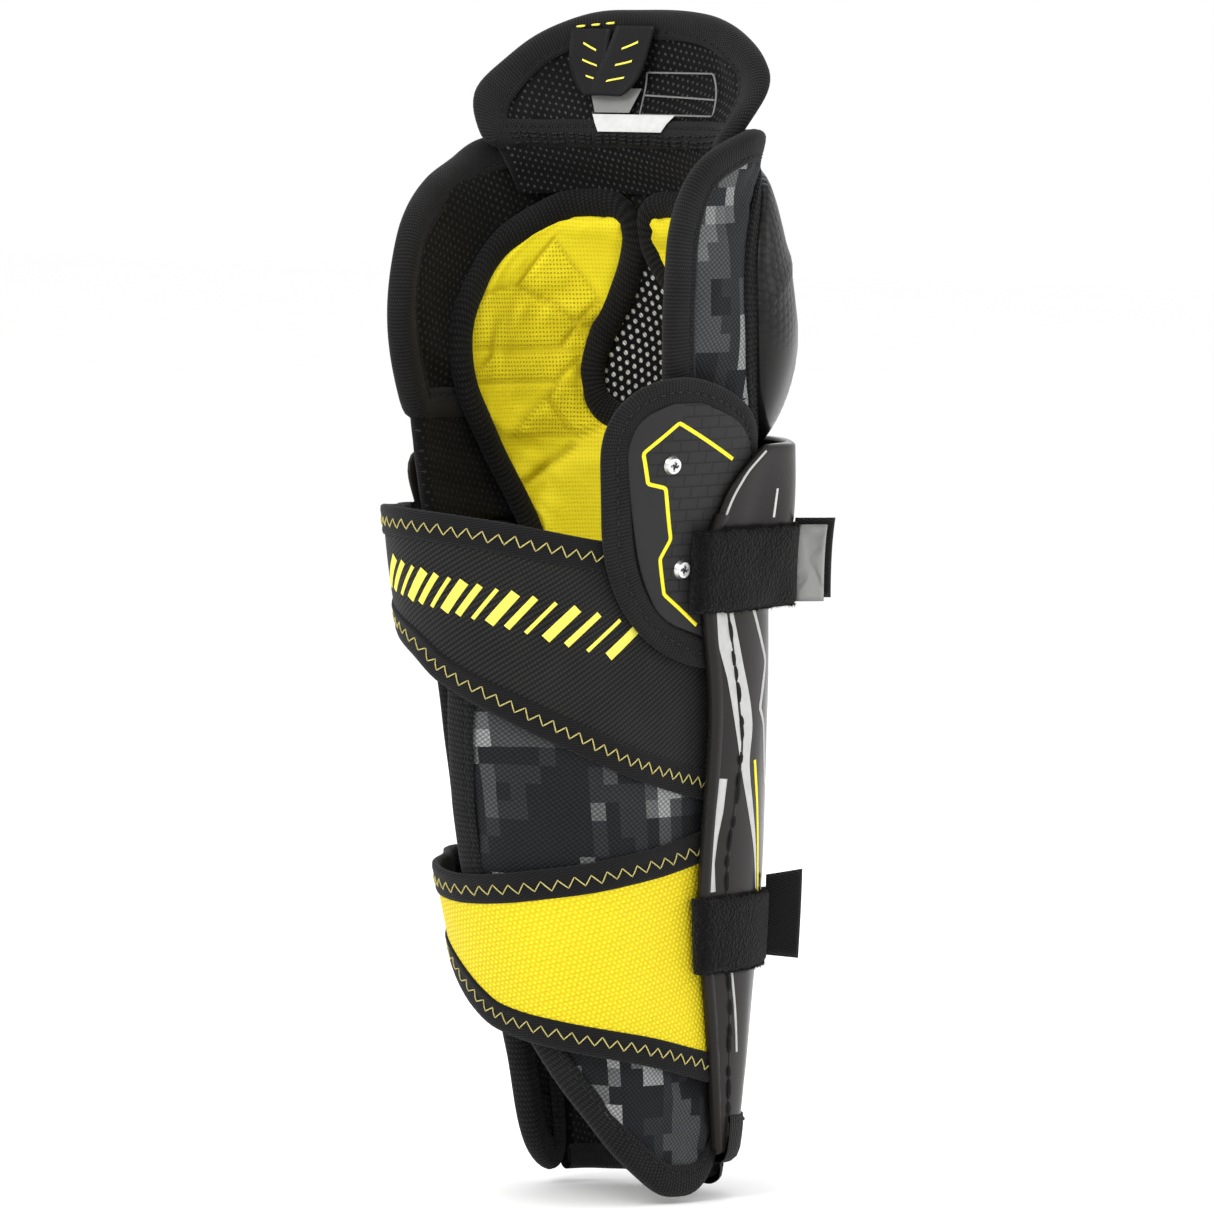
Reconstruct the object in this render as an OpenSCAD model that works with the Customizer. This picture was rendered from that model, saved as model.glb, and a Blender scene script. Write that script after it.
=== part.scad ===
// Hockey shin guard, right leg: hard knee cap and shin shell on a padded carrier,
// with a tilting thigh guard, two calf wraps, two elastic calf straps, two edge bands
// and a screwed side wing.
// Every layer is a patch of one leg-shaped surface. A patch is given by an angle round the
// leg, a height up the leg and an offset outwards from the surface that touches the leg.
// Angle 0 is the front (-Y), +90 the outer side (-X), -90 the inner side (+X), 180 the back.

/* [Size] */
// Distance from the middle of the knee cap to the lower edge of the shin shell
shin_len = 262; // [236:1:290]
// Width of the leg space at the knee
knee_w = 100; // [92:1:112]

/* [Thicknesses] */
// Thickness of the padded wraps and the liner
wrap_t = 6.6; // [5:0.2:6.6]
// Thickness of the elastic of the calf straps
strap_t = 1.6; // [1.2:0.1:1.8]
// Thickness of the plastic of the shin shell
shell_t = 2.4; // [1.8:0.1:3]
// Thickness of the plastic of the knee cap
cap_t = 2.2; // [1.8:0.1:3]

/* [Fasteners] */
// Diameter of the wing screws
screw_d = 3; // [2.5:0.1:3.5]
// Diameter of the heads of the wing screws
screw_head_d = 6; // [5:0.1:7]

/* [Hidden] */

BLACK = "#1d1d1f";
MESH_BLACK = "#2a2a2c";
YELLOW = "#f6e21b";
CAMO = "#3b3f45";
SHELL_GREY = "#3c3a39";
SILVER = "#b9bab8";

HEIGHT_SCALE = shin_len / 262;
WIDTH_SCALE = knee_w / 100;
LAYER_GAP = 0.6;   // between layers of different pieces that lie on each other
FACE_GAP = 0.2;    // between pieces that are sewn or pressed together

// Leg surface stations: height, half width, depth in front, depth behind, centre x, centre y
STATIONS = [[0, 27, 19, 34, 0, -13], [30, 29.5, 21.6, 38, 0, -12], [99, 33, 36, 52, 1, -7],
    [154, 35.5, 37.5, 60, 2, -4], [200, 38.5, 38, 66, 3, -2], [232, 45, 39, 66, 2, -1],
    [267, 50, 41, 66, 0, 0], [312, 50, 31, 60, 0, 0], [345, 60, 26, 60, 0, 0],
    [372, 61, 24, 60, 0, 0]];
BACK_FULLNESS = 0.05;

// ---- curves through hand-chosen points ----

function smooth(t) = let (s = min(1, max(0, t))) s * s * (3 - 2 * s);
function mix(a, b, t) = a + (b - a) * t;
function last(v) = v[len(v) - 1];

// Slope at point i of a table of [x, y...] rows, for column k
function slope(tab, i, k) = let (a = max(0, i - 1), b = min(len(tab) - 1, i + 1))
    (tab[b][k] - tab[a][k]) / (tab[b][0] - tab[a][0]);

function segment_of(tab, x, i = 0) =
    i >= len(tab) - 2 || x <= tab[i + 1][0] ? i : segment_of(tab, x, i + 1);

// Smooth curve through column k of a table sorted by its first column
function curve(tab, x, k = 1) =
    x <= tab[0][0] ? tab[0][k] :
    x >= last(tab)[0] ? last(tab)[k] :
    let (i = segment_of(tab, x), h = tab[i + 1][0] - tab[i][0], t = (x - tab[i][0]) / h,
         m1 = slope(tab, i, k) * h, m2 = slope(tab, i + 1, k) * h)
    (2 * t^3 - 3 * t^2 + 1) * tab[i][k] + (t^3 - 2 * t^2 + t) * m1
    + (3 * t^2 - 2 * t^3) * tab[i + 1][k] + (t^3 - t^2) * m2;

// ---- the leg surface ----

// The point at angle th, height z and offset d outwards
function leg(th, z, d) = let (
    a = curve(STATIONS, z, 1), front = curve(STATIONS, z, 2), back = curve(STATIONS, z, 3),
    cx = curve(STATIONS, z, 4), cy = curve(STATIONS, z, 5),
    behind = cos(th) < 0, full = behind ? 1 + BACK_FULLNESS * sin(2 * th)^2 : 1,
    depth = behind ? back : front)
    [(cx - a * full * sin(th)) * WIDTH_SCALE - d * sin(th),
     (cy - depth * full * cos(th)) * WIDTH_SCALE - d * cos(th),
     z * HEIGHT_SCALE];

// ---- solids on the leg surface ----

function quad(a, b, c, d) = [[a, b, c], [a, c, d]];

// A closed slab. map(u, v) gives [angle, height], inside(th, z) and outside(th, z) its two offsets
module slab(map, inside, outside, nu, nv) {
    function row_points(off) = [for (j = [0:nv], i = [0:nu])
        let (p = map(i / nu, j / nv)) leg(p[0], p[1], off(p[0], p[1]))];
    function at(side, i, j) = side * (nu + 1) * (nv + 1) + j * (nu + 1) + i;
    points = concat(row_points(outside), row_points(inside));
    faces = concat(
        [for (j = [0:nv - 1], i = [0:nu - 1])
            each quad(at(0, i, j), at(0, i + 1, j), at(0, i + 1, j + 1), at(0, i, j + 1))],
        [for (j = [0:nv - 1], i = [0:nu - 1])
            each quad(at(1, i, j + 1), at(1, i + 1, j + 1), at(1, i + 1, j), at(1, i, j))],
        [for (i = [0:nu - 1])
            each quad(at(0, i + 1, 0), at(0, i, 0), at(1, i, 0), at(1, i + 1, 0))],
        [for (i = [0:nu - 1])
            each quad(at(0, i, nv), at(0, i + 1, nv), at(1, i + 1, nv), at(1, i, nv))],
        [for (j = [0:nv - 1])
            each quad(at(0, nu, j + 1), at(0, nu, j), at(1, nu, j), at(1, nu, j + 1))],
        [for (j = [0:nv - 1])
            each quad(at(0, 0, j), at(0, 0, j + 1), at(1, 0, j + 1), at(1, 0, j))]);
    polyhedron(points, faces, convexity = 10);
}

// Points round the unit square, inset by mu and mv
function square_path(nu, nv, mu, mv) = let (u0 = mu, u1 = 1 - mu, v0 = mv, v1 = 1 - mv) concat(
    [for (i = [0:nu - 1]) [mix(u0, u1, i / nu), v0]],
    [for (j = [0:nv - 1]) [u1, mix(v0, v1, j / nv)]],
    [for (i = [0:nu - 1]) [mix(u1, u0, i / nu), v1]],
    [for (j = [0:nv - 1]) [u0, mix(v1, v0, j / nv)]]);

// A closed band along the edge of a patch: the binding round its rim
module rim(map, inside, outside, nu, nv, mu, mv) {
    outer = [for (p = square_path(nu, nv, 0, 0)) map(p[0], p[1])];
    inner = [for (p = square_path(nu, nv, mu, mv)) map(p[0], p[1])];
    n = len(outer);
    points = concat([for (p = outer) leg(p[0], p[1], outside(p[0], p[1]))],
        [for (p = inner) leg(p[0], p[1], outside(p[0], p[1]))],
        [for (p = inner) leg(p[0], p[1], inside(p[0], p[1]))],
        [for (p = outer) leg(p[0], p[1], inside(p[0], p[1]))]);
    faces = [for (k = [0:n - 1], ring = [0:3]) let (next = (k + 1) % n, far = (ring + 1) % 4)
        each quad(ring * n + k, ring * n + next, far * n + next, far * n + k)];
    polyhedron(points, faces, convexity = 10);
}

// A map that covers the part of another map inside its rim
function inset(map, mu, mv) = function (u, v) map(mix(mu, 1 - mu, u), mix(mv, 1 - mv, v));

// Between two side edges given as tables of [height, angle]
function between_sides(low, high, z0, z1) = function (u, v)
    let (z = mix(z0, z1, v)) [mix(curve(low, z), curve(high, z), u), z];

// Between a lower and an upper edge given as tables of [angle, height]
function between_edges(bottom, top, th0, th1) = function (u, v)
    let (th = mix(th0, th1, u)) [th, mix(curve(bottom, th), curve(top, th), v)];

// A constant offset
function level(d) = function (th, z) d;

// Puts its children at a point of the surface, with +Z straight out of it
module on_surface(th, z, d) {
    n = cross(leg(th, z + 1, d) - leg(th, z - 1, d), leg(th + 1, z, d) - leg(th - 1, z, d));
    translate(leg(th, z, d)) rotate([0, acos(n[2] / norm(n)), atan2(n[1], n[0])]) children();
}

// ---- shin shell and what is under it ----

SHELL_Z = [14, 235];
SHELL_OUTER_EDGE = [[14, 88], [26, 92], [60, 96], [90, 98], [150, 94], [195, 97], [212, 95],
    [226, 90], [235, 78]];
SHELL_INNER_EDGE = [[14, -86], [26, -92], [60, -96], [100, -98], [160, -98], [198, -99],
    [216, -104], [228, -103], [235, -92]];

// Offset of the inside of the shell: a slow rise, a bell-mouth at the top and a front ridge
SHELL_RISE = [[14, 7.8], [50, 9.8], [100, 11.2], [155, 13.5], [184, 14.1], [235, 14.1]];
BELL = [[184, 0], [200, 5], [212, 6], [235, 2.5]];
RIDGE = 4;
function bell(th, z) = curve(BELL, z) * (1 - smooth((abs(th) - 58) / 24));
function ridge(th, z) = RIDGE * exp(-(th / 15)^2) * smooth((z - 12) / 40);
function shell_in(th, z) = curve(SHELL_RISE, z) + bell(th, z) + ridge(th, z);
function shell_out(th, z) = shell_in(th, z) + shell_t;

shell_map = between_sides(SHELL_INNER_EDGE, SHELL_OUTER_EDGE, SHELL_Z[0], SHELL_Z[1]);

module shin_shell() {
    color(SHELL_GREY)
        slab(shell_map, function (th, z) shell_in(th, z), function (th, z) shell_out(th, z), 26, 20);
}

// Tape folded over the lower edge of the shell: thick below the edge, thin on its outside
TAPE_TOP = 24;
TAPE_STEP = [13.6, 13.8];
module shell_lower_binding() {
    heights = [undef, TAPE_STEP[0], TAPE_STEP[1], TAPE_TOP];
    map = function (u, v) let (th = mix(-82, 82, u), row = round(v * 3))
        [th, row == 0 ? mix(7.5, 10.5, u) : heights[row]];
    color(BLACK) slab(map,
        function (th, z) z <= TAPE_STEP[0] ? wrap_t + LAYER_GAP : shell_out(th, z) + FACE_GAP,
        function (th, z) shell_out(th, z) + 1.4, 18, 3);
}

FOAM_HALF = 56;
module shin_foam() {
    map = between_sides([[0, -FOAM_HALF]], [[0, FOAM_HALF]], 18, 222);
    color(MESH_BLACK) slab(map, level(wrap_t + LAYER_GAP),
        function (th, z) shell_in(th, z) - LAYER_GAP - 0.2, 16, 16);
}

LINER_HALF = 67;
module shin_liner() {
    map = between_sides([[0, -LINER_HALF]], [[0, LINER_HALF]], 9, 228);
    color(MESH_BLACK) slab(map, level(0), level(wrap_t), 14, 12);
}

PAD_T = 5;
// Yellow pad inside the liner, below the knee
module shin_pad() {
    map = between_sides([[150, -50], [204, -64], [231, -66]], [[150, 50], [204, 62], [231, 64]],
        150, 231);
    color(YELLOW) slab(map, level(-PAD_T), level(-0.4), 12, 7);
}

// ---- side wing ----

WING_Z = [166, 257];
WING_REAR = [[166, 96], [172, 108], [180, 116], [195, 122.5], [215, 126], [236, 129], [247, 127],
    [254, 121], [257, 114]];
WING_FRONT = [[166, 84], [176, 76], [215, 73], [232, 74], [243, 80], [252, 94], [257, 106]];
WING_D = 9.2;
WING_PAD_T = 2.6;
PLATE_T = 1.4;
PLATE_D = WING_D + WING_PAD_T + FACE_GAP;
PLATE_Z = [175, 249];
PLATE_REAR = [[175, 92], [181, 106], [190, 112], [209, 117], [232, 122], [240, 121.5], [246, 118],
    [249, 112]];
PLATE_FRONT = [[175, 84], [188, 80], [215, 79], [232, 82], [243, 92], [249, 104]];
SCREWS = [[111, 231], [103.5, 198]];   // angle and height of each wing screw
SCREW_CLEARANCE = 0.15;

wing_map = between_sides(WING_FRONT, WING_REAR, WING_Z[0], WING_Z[1]);
plate_map = between_sides(PLATE_FRONT, PLATE_REAR, PLATE_Z[0], PLATE_Z[1]);

// Puts its children on the axis of each screw, at a height above the back of the pad
module on_screws(height) {
    for (s = SCREWS) on_surface(s[0], s[1], WING_D) translate([0, 0, height]) children();
}
module screw_holes(d) {
    on_screws(-4) cylinder(d = d, h = 13, $fn = 32);
}

NUT_D = 7;
NUT_T = 0.7;
NUT_GAP = 0.35;   // room for the curve of the pad over the flat flange
SLEEVE_D = 4.4;
module wing_pad() {
    color(BLACK) difference() {
        slab(wing_map, level(WING_D), level(WING_D + WING_PAD_T), 9, 12);
        screw_holes(SLEEVE_D + 2 * SCREW_CLEARANCE);
    }
}

module wing_plate() {
    color(SHELL_GREY) difference() {
        slab(plate_map, level(PLATE_D), level(PLATE_D + PLATE_T), 8, 10);
        screw_holes(screw_d + 2 * SCREW_CLEARANCE);
    }
}

HEAD_T = 1.5;
HEAD_HEIGHT = 4.4;
SHAFT_LEN = 5.2;
// Pan-head screws with a cross recess
module wing_screws() {
    color(SILVER) on_screws(HEAD_HEIGHT) {
        difference() {
            cylinder(d1 = screw_head_d, d2 = screw_head_d - 1.2, h = HEAD_T, $fn = 40);
            for (turn = [0, 90]) rotate(turn)
                translate([-1.7, -0.4, HEAD_T - 0.8]) cube([3.4, 0.8, 1]);
        }
        translate([0, 0, -SHAFT_LEN]) cylinder(d = screw_d, h = SHAFT_LEN, $fn = 32);
    }
}

// Flanged sleeve nuts that the screws turn into, behind the pad
module wing_nuts() {
    color(SILVER) on_screws(-NUT_T - NUT_GAP) difference() {
        union() {
            cylinder(d = NUT_D, h = NUT_T, $fn = 32);
            cylinder(d = SLEEVE_D, h = NUT_T + NUT_GAP + WING_PAD_T - 0.3, $fn = 32);
        }
        translate([0, 0, -0.5]) cylinder(d = screw_d + 0.1, h = 6, $fn = 32);
    }
}

// ---- calf wraps ----

WRAP_TOP = 212;
WRAP_FRONT = 71;
OUTER_WRAP_REAR = [[1, 112], [8, 127], [20, 144], [36, 160], [48, 171], [80, 189], [110, 196],
    [140, 192], [160, 187], [212, 178]];
OUTER_WRAP_FRONT = [[1, 94], [8, 82], [16, WRAP_FRONT], [18, WRAP_FRONT]];
INNER_WRAP_Z = 7;
INNER_WRAP_REAR = [[7, -90], [11, -96], [18, -99], [34, -102], [50, -104], [64, -112],
    [80, -118], [212, -118]];
INNER_WRAP_FRONT = [[7, -80], [12, -WRAP_FRONT], [14, -WRAP_FRONT]];
BIND = 0.5;   // how far a binding stands proud of its wrap
RIM_U = 0.05;
RIM_V = 0.024;

outer_wrap_map = between_sides(OUTER_WRAP_FRONT, OUTER_WRAP_REAR, 1, WRAP_TOP);
inner_wrap_map = between_sides(INNER_WRAP_REAR, INNER_WRAP_FRONT, INNER_WRAP_Z, WRAP_TOP);

module wrap(map, nu, nv, mu, mv) {
    slab(inset(map, mu + 0.003, mv + 0.001), level(BIND), level(wrap_t - BIND), nu, nv);
}
module wrap_binding(map, nu, nv, mu, mv) {
    rim(map, level(0), level(wrap_t), nu, nv, mu, mv);
}

module outer_calf_wrap() { color(CAMO) wrap(outer_wrap_map, 14, 14, RIM_U, RIM_V); }
module outer_wrap_binding() { color(BLACK) wrap_binding(outer_wrap_map, 14, 14, RIM_U, RIM_V); }
module inner_calf_wrap() { color(MESH_BLACK) wrap(inner_wrap_map, 6, 14, RIM_U * 2.4, RIM_V); }
module inner_wrap_binding() { color(BLACK) wrap_binding(inner_wrap_map, 6, 14, RIM_U * 2.4, RIM_V); }

// ---- calf straps ----

STRAP_D = wrap_t + LAYER_GAP;
UPPER_HINGE = 133;
LOWER_HINGE = 107;
STRAP_START = 76;
STRAP_GAP = 1.2;     // degrees between the sewn part of a strap and the part that swings
TAB_START = 260;
TAB_END = 288;       // both straps end on the inner side of the shell
UPPER_TOP = [[72, 200], [122, 206], [150, 212], [176, 215], [210, 216], [245, 214], [285, 212]];
UPPER_BOTTOM = [[72, 121], [86, 124], [115, 133], [140, 145], [160, 154], [186, 164], [200, 172],
    [225, 179], [250, 182], [285, 182]];
LOWER_TOP = [[74, 113], [92, 111], [117, 106], [145, 102], [187, 100], [213, 103], [245, 106],
    [285, 106]];
LOWER_BOTTOM = [[74, 37], [89, 40], [124, 47], [155, 53], [187, 59], [200, 70], [222, 76],
    [250, 78], [285, 78]];
HEM_H = 11;
HEM_T = 0.7;
HEM_GAP = 0.25;

// A strap lies on the wraps, then climbs over the inner edge of the shell
function over_shell(z) = curve(SHELL_RISE, z) + shell_t + 1.9;
function strap_in(th, z) = mix(STRAP_D, over_shell(z), smooth((th - 236) / 23));

module strap_band(bottom, top, th0, th1, nu) {
    map = between_edges(bottom, top, th0, th1);
    slab(map, function (th, z) strap_in(th, z), function (th, z) strap_in(th, z) + strap_t, nu, 4);
}

// Tapes sewn along both edges of a strap, on its outside
module strap_tapes(bottom, top, th0, th1, nu) {
    for (upper = [true, false]) {
        map = function (u, v) let (th = mix(th0, th1, u), z0 = curve(bottom, th), z1 = curve(top, th))
            [th, upper ? mix(z1 - HEM_H, z1, v) : mix(z0, z0 + HEM_H, v)];
        slab(map, function (th, z) strap_in(th, z) + strap_t + HEM_GAP,
            function (th, z) strap_in(th, z) + strap_t + HEM_T, nu, 1);
    }
}

module upper_strap_anchor() {
    color(BLACK) difference() {
        strap_band(UPPER_BOTTOM, UPPER_TOP, STRAP_START, UPPER_HINGE - STRAP_GAP, 6);
        screw_holes(NUT_D + 0.8);
    }
}
module lower_strap_anchor() {
    color(YELLOW) strap_band(LOWER_BOTTOM, LOWER_TOP, STRAP_START, LOWER_HINGE - STRAP_GAP, 5);
}
module upper_strap() { color(BLACK) strap_band(UPPER_BOTTOM, UPPER_TOP, UPPER_HINGE, TAB_START, 16); }
module lower_strap() { color(YELLOW) strap_band(LOWER_BOTTOM, LOWER_TOP, LOWER_HINGE, TAB_START, 20); }
module upper_strap_hems() {
    color(BLACK) strap_tapes(UPPER_BOTTOM, UPPER_TOP, UPPER_HINGE, TAB_START, 16);
}
module lower_strap_hems() {
    color(BLACK) strap_tapes(LOWER_BOTTOM, LOWER_TOP, LOWER_HINGE, TAB_START, 20);
}

// Stiff hook tabs on the free ends
function hook_tab_in(th, z) = shell_out(th - 360, z) + 1.9;
module hook_tab(z0, z1) {
    map = between_edges([[0, z0]], [[0, z1]], TAB_START + 0.4, TAB_END);
    slab(map, function (th, z) hook_tab_in(th, z),
        function (th, z) hook_tab_in(th, z) + strap_t + 0.4, 7, 5);
}
module upper_hook_tab() { color(BLACK) hook_tab(186, 211); }
module lower_hook_tab() { color(BLACK) hook_tab(80, 105); }

// Loop patches on the shell that the hook tabs press on
module loop_patch(z0, z1) {
    map = between_edges([[0, z0]], [[0, z1]], TAB_START + 3, TAB_END + 3);
    slab(map, function (th, z) shell_out(th - 360, z) + 2 * FACE_GAP,
        function (th, z) shell_out(th - 360, z) + 1.4, 7, 5);
}
module upper_loop_patch() { color(MESH_BLACK) loop_patch(184, 213); }
module lower_loop_patch() { color(MESH_BLACK) loop_patch(78, 107); }

// ---- edge bands: loop tape folded round the outer edge of the shell ----

UPPER_BAND_Z = [184, 209];
LOWER_BAND_Z = [72, 95];
BAND_T = 1.8;
BAND_FOLD = [98.6, 100];     // angles of the fold round the edge of the shell
BAND_FRONT = 50;
BAND_INNER_FRONT = 86;

UPPER_BAND_GAP = 0.9;   // the shell flares under the upper band, so it stands off more
LOWER_BAND_GAP = 0.4;

// The band runs inside the shell edge, folds, and runs forward over the outside
module edge_band(zr, gap, rows) {
    function outer_face(th, z) = shell_out(th, z) + gap + BAND_T;
    function run(th0, th1) = between_edges([[0, zr[0]]], [[0, zr[1]]], th0, th1);
    slab(run(BAND_FRONT, BAND_FOLD[0]), function (th, z) shell_out(th, z) + gap,
        function (th, z) outer_face(th, z), 12, rows);
    slab(run(BAND_FOLD[0] - 0.001, BAND_FOLD[1]), function (th, z) shell_in(th, z) - 0.6,
        function (th, z) outer_face(th, z), 1, rows);
    slab(run(BAND_INNER_FRONT, BAND_FOLD[0]), function (th, z) shell_in(th, z) - 0.6,
        function (th, z) shell_in(th, z) - 0.15, 3, rows);
}
module upper_band() { color(BLACK) edge_band(UPPER_BAND_Z, UPPER_BAND_GAP, 9); }
module lower_band() { color(BLACK) edge_band(LOWER_BAND_Z, LOWER_BAND_GAP, 5); }

// A free tab that stands out from the front end of a band
TAB_LIFT = 1.1;
module standing_tab(th0, th1, z0, z1, gap, reach_d) {
    slab(between_edges([[0, z0]], [[0, z1]], th0, th1),
        function (th, z) shell_out(th, z) + gap + BAND_T + TAB_LIFT, level(reach_d), 1, 3);
}
module upper_band_hook() { color(BLACK) standing_tab(47, 48.8, 185.5, 210.5, UPPER_BAND_GAP, 36.3); }
module upper_band_grip() { color(SILVER) standing_tab(49, 50.6, 184.5, 208.5, UPPER_BAND_GAP, 34); }
module lower_band_hook() { color(BLACK) standing_tab(47, 49.4, 74, 99, LOWER_BAND_GAP, 26.5); }

// ---- knee ----

CAP_Z = [233, 320];
CAP_EDGE = [[233, 46], [238, 60], [248, 72], [265, 79], [289, 78], [304, 70], [314, 58], [320, 42]];
CAP_BULGE = 8;
CAP_RIM_D = wrap_t + LAYER_GAP;
function cap_in(th, z) = let (et = abs(th) / curve(CAP_EDGE, z), ez = abs(z - 277) / 44)
    CAP_RIM_D + CAP_BULGE * max(0, (1 - et^3) * (1 - ez^3))^0.6;

function cap_map(margin) = function (u, v)
    let (z = mix(CAP_Z[0] + margin, CAP_Z[1] - margin, v), half = curve(CAP_EDGE, z) - margin)
    [mix(-half, half, u), z];

module knee_cap() {
    color(SHELL_GREY) slab(cap_map(0), function (th, z) cap_in(th, z),
        function (th, z) cap_in(th, z) + cap_t, 20, 14);
}
module knee_foam() {
    color(MESH_BLACK) slab(cap_map(11), level(CAP_RIM_D),
        function (th, z) cap_in(th, z) - LAYER_GAP, 12, 8);
}

KNEE_Z = [240, 328];
KNEE_OUTER_EDGE = [[240, 108], [258, 112], [274, 114.5], [300, 115], [309, 113.5], [319, 109],
    [325, 99], [328, 86]];
KNEE_INNER_EDGE = [[240, -117], [250, -120], [270, -125], [288, -125.5], [303, -120], [314, -108],
    [322, -90], [328, -70]];
KNEE_SLOPE = 4;      // the top edge rises this much from the inner to the outer side
knee_map = function (u, v) let (z = mix(KNEE_Z[0], KNEE_Z[1], v))
    [mix(curve(KNEE_INNER_EDGE, z), curve(KNEE_OUTER_EDGE, z), u), z + KNEE_SLOPE * u * v^4];
KNEE_RIM_U = 0.026;
KNEE_RIM_V = 0.06;
module knee_wrap() {
    color(CAMO) wrap(knee_map, 26, 10, KNEE_RIM_U, KNEE_RIM_V);
}
module knee_wrap_binding() {
    color(BLACK) wrap_binding(knee_map, 26, 10, KNEE_RIM_U, KNEE_RIM_V);
}

// Yellow lobes inside the knee, either side of a sewn channel
LOBE_Z = [240, 305];
INNER_LOBE_SIDE = [[240, -90], [255, -96], [271, -95], [286, -84], [297, -62], [305, -34]];
INNER_LOBE_MID = [[240, -37], [251, -39], [263, -37], [276, -27], [292, -17], [305, -14]];
OUTER_LOBE_MID = [[240, 21], [251, 23], [263, 21], [276, 10], [292, -3], [305, -5]];
OUTER_LOBE_SIDE = [[240, 74], [255, 80], [271, 79], [286, 70], [297, 50], [305, 22]];
inner_lobe_map = between_sides(INNER_LOBE_SIDE, INNER_LOBE_MID, LOBE_Z[0], LOBE_Z[1]);
outer_lobe_map = between_sides(OUTER_LOBE_MID, OUTER_LOBE_SIDE, LOBE_Z[0], LOBE_Z[1]);
LOBE_RIM = 0.1;
module lobe(map) { slab(inset(map, LOBE_RIM + 0.01, LOBE_RIM + 0.005), level(-PAD_T), level(-0.4), 8, 7); }
module knee_pad_inner() { color(YELLOW) lobe(inner_lobe_map); }
module knee_pad_outer() { color(YELLOW) lobe(outer_lobe_map); }
module knee_pad_piping() {
    color(BLACK) {
        rim(inner_lobe_map, level(-PAD_T - 0.6), level(-0.4), 8, 8, LOBE_RIM, LOBE_RIM);
        rim(outer_lobe_map, level(-PAD_T - 0.6), level(-0.4), 8, 8, LOBE_RIM, LOBE_RIM);
    }
}

// Soft fabric that joins the knee section to the shin section and gives as the knee bends
module knee_gusset() {
    low = 232;
    high = KNEE_Z[0] - 1;
    parts = [[-LINER_HALF, LINER_HALF, low, 12], [-115, -WRAP_FRONT, WRAP_TOP + 1.5, 5],
        [WRAP_FRONT, 106, WRAP_TOP + 1.5, 4]];
    color(MESH_BLACK) for (p = parts)
        slab(between_edges([[0, p[2]]], [[0, high]], p[0], p[1]), level(0.6), level(wrap_t - 0.6), p[3], 2);
}

// ---- thigh guard ----

THIGH_Z = [324, 367.5];
THIGH_EDGE = [[324, 78], [331, 75], [338, 70], [346, 61.5], [353, 52], [359, 42], [363, 33],
    [366, 23], [367.5, 14]];
THIGH_T = 6.6;
thigh_map = function (u, v) let (z = mix(THIGH_Z[0], THIGH_Z[1], v), half = curve(THIGH_EDGE, z))
    [mix(-half, half, u), z];
// The lower part is tucked inside the knee section
TUCK = 9;
function thigh_in(th, z) = -TUCK * (1 - smooth((z - 324) / 26));
THIGH_RIM_U = 0.055;
THIGH_RIM_V = 0.12;
module thigh_layer(d0, d1, nv) {
    slab(inset(thigh_map, THIGH_RIM_U + 0.006, THIGH_RIM_V + 0.008),
        function (th, z) thigh_in(th, z) + d0, function (th, z) thigh_in(th, z) + d1, 14, nv);
}
module thigh_liner() { color(MESH_BLACK) thigh_layer(0.4, 2.7, 6); }
module thigh_insert() { color(SILVER) thigh_layer(2.9, 4.1, 6); }
module thigh_cover() { color(CAMO) thigh_layer(4.3, THIGH_T - 0.4, 6); }
module thigh_binding() {
    color(BLACK) rim(thigh_map, function (th, z) thigh_in(th, z),
        function (th, z) thigh_in(th, z) + THIGH_T, 14, 8, THIGH_RIM_U, THIGH_RIM_V);
}
module thigh_gusset() {
    map = between_sides([[312, -60], [323, -66]], [[312, 60], [323, 66]], 312, 323.2);
    color(MESH_BLACK) slab(map, function (th, z) -2.6 - 4.8 * smooth((z - 312) / 10), level(-0.4), 12, 2);
}

// Printed size label on the inside of the thigh guard
module size_label() {
    map = between_edges([[0, 331]], [[0, 351]], -17, 21);
    color(SILVER) slab(map, function (th, z) thigh_in(th, z) - 0.3,
        function (th, z) thigh_in(th, z) + 0.1, 4, 4);
}

// Ribbon loop sewn under the top binding
module pull_loop() {
    map = between_sides([[336, -24], [344, -27]], [[336, -14], [344, -8], [361, 2]], 336, 361);
    color(BLACK) for (layer = [0, 1])
        slab(map, function (th, z) thigh_in(th, z) - 1.6 - layer * 1.1,
            function (th, z) thigh_in(th, z) - 0.9 - layer * 1.1, 3, 4);
}

// ---- nodes ----

shin_shell();
shell_lower_binding();
shin_foam();
shin_liner();
shin_pad();
knee_gusset();
upper_loop_patch();
lower_loop_patch();
wing_pad();
wing_plate();
wing_screws();
wing_nuts();
upper_strap_anchor();
lower_strap_anchor();
upper_band();
lower_band();
knee_cap();
knee_foam();
knee_wrap();
knee_wrap_binding();
knee_pad_inner();
knee_pad_outer();
knee_pad_piping();
thigh_gusset();
thigh_liner();
thigh_insert();
thigh_cover();
thigh_binding();
size_label();
pull_loop();
outer_calf_wrap();
outer_wrap_binding();
inner_calf_wrap();
inner_wrap_binding();
upper_strap();
upper_strap_hems();
upper_hook_tab();
lower_strap();
lower_strap_hems();
lower_hook_tab();
upper_band_hook();
upper_band_grip();
lower_band_hook();
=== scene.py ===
import math

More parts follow.
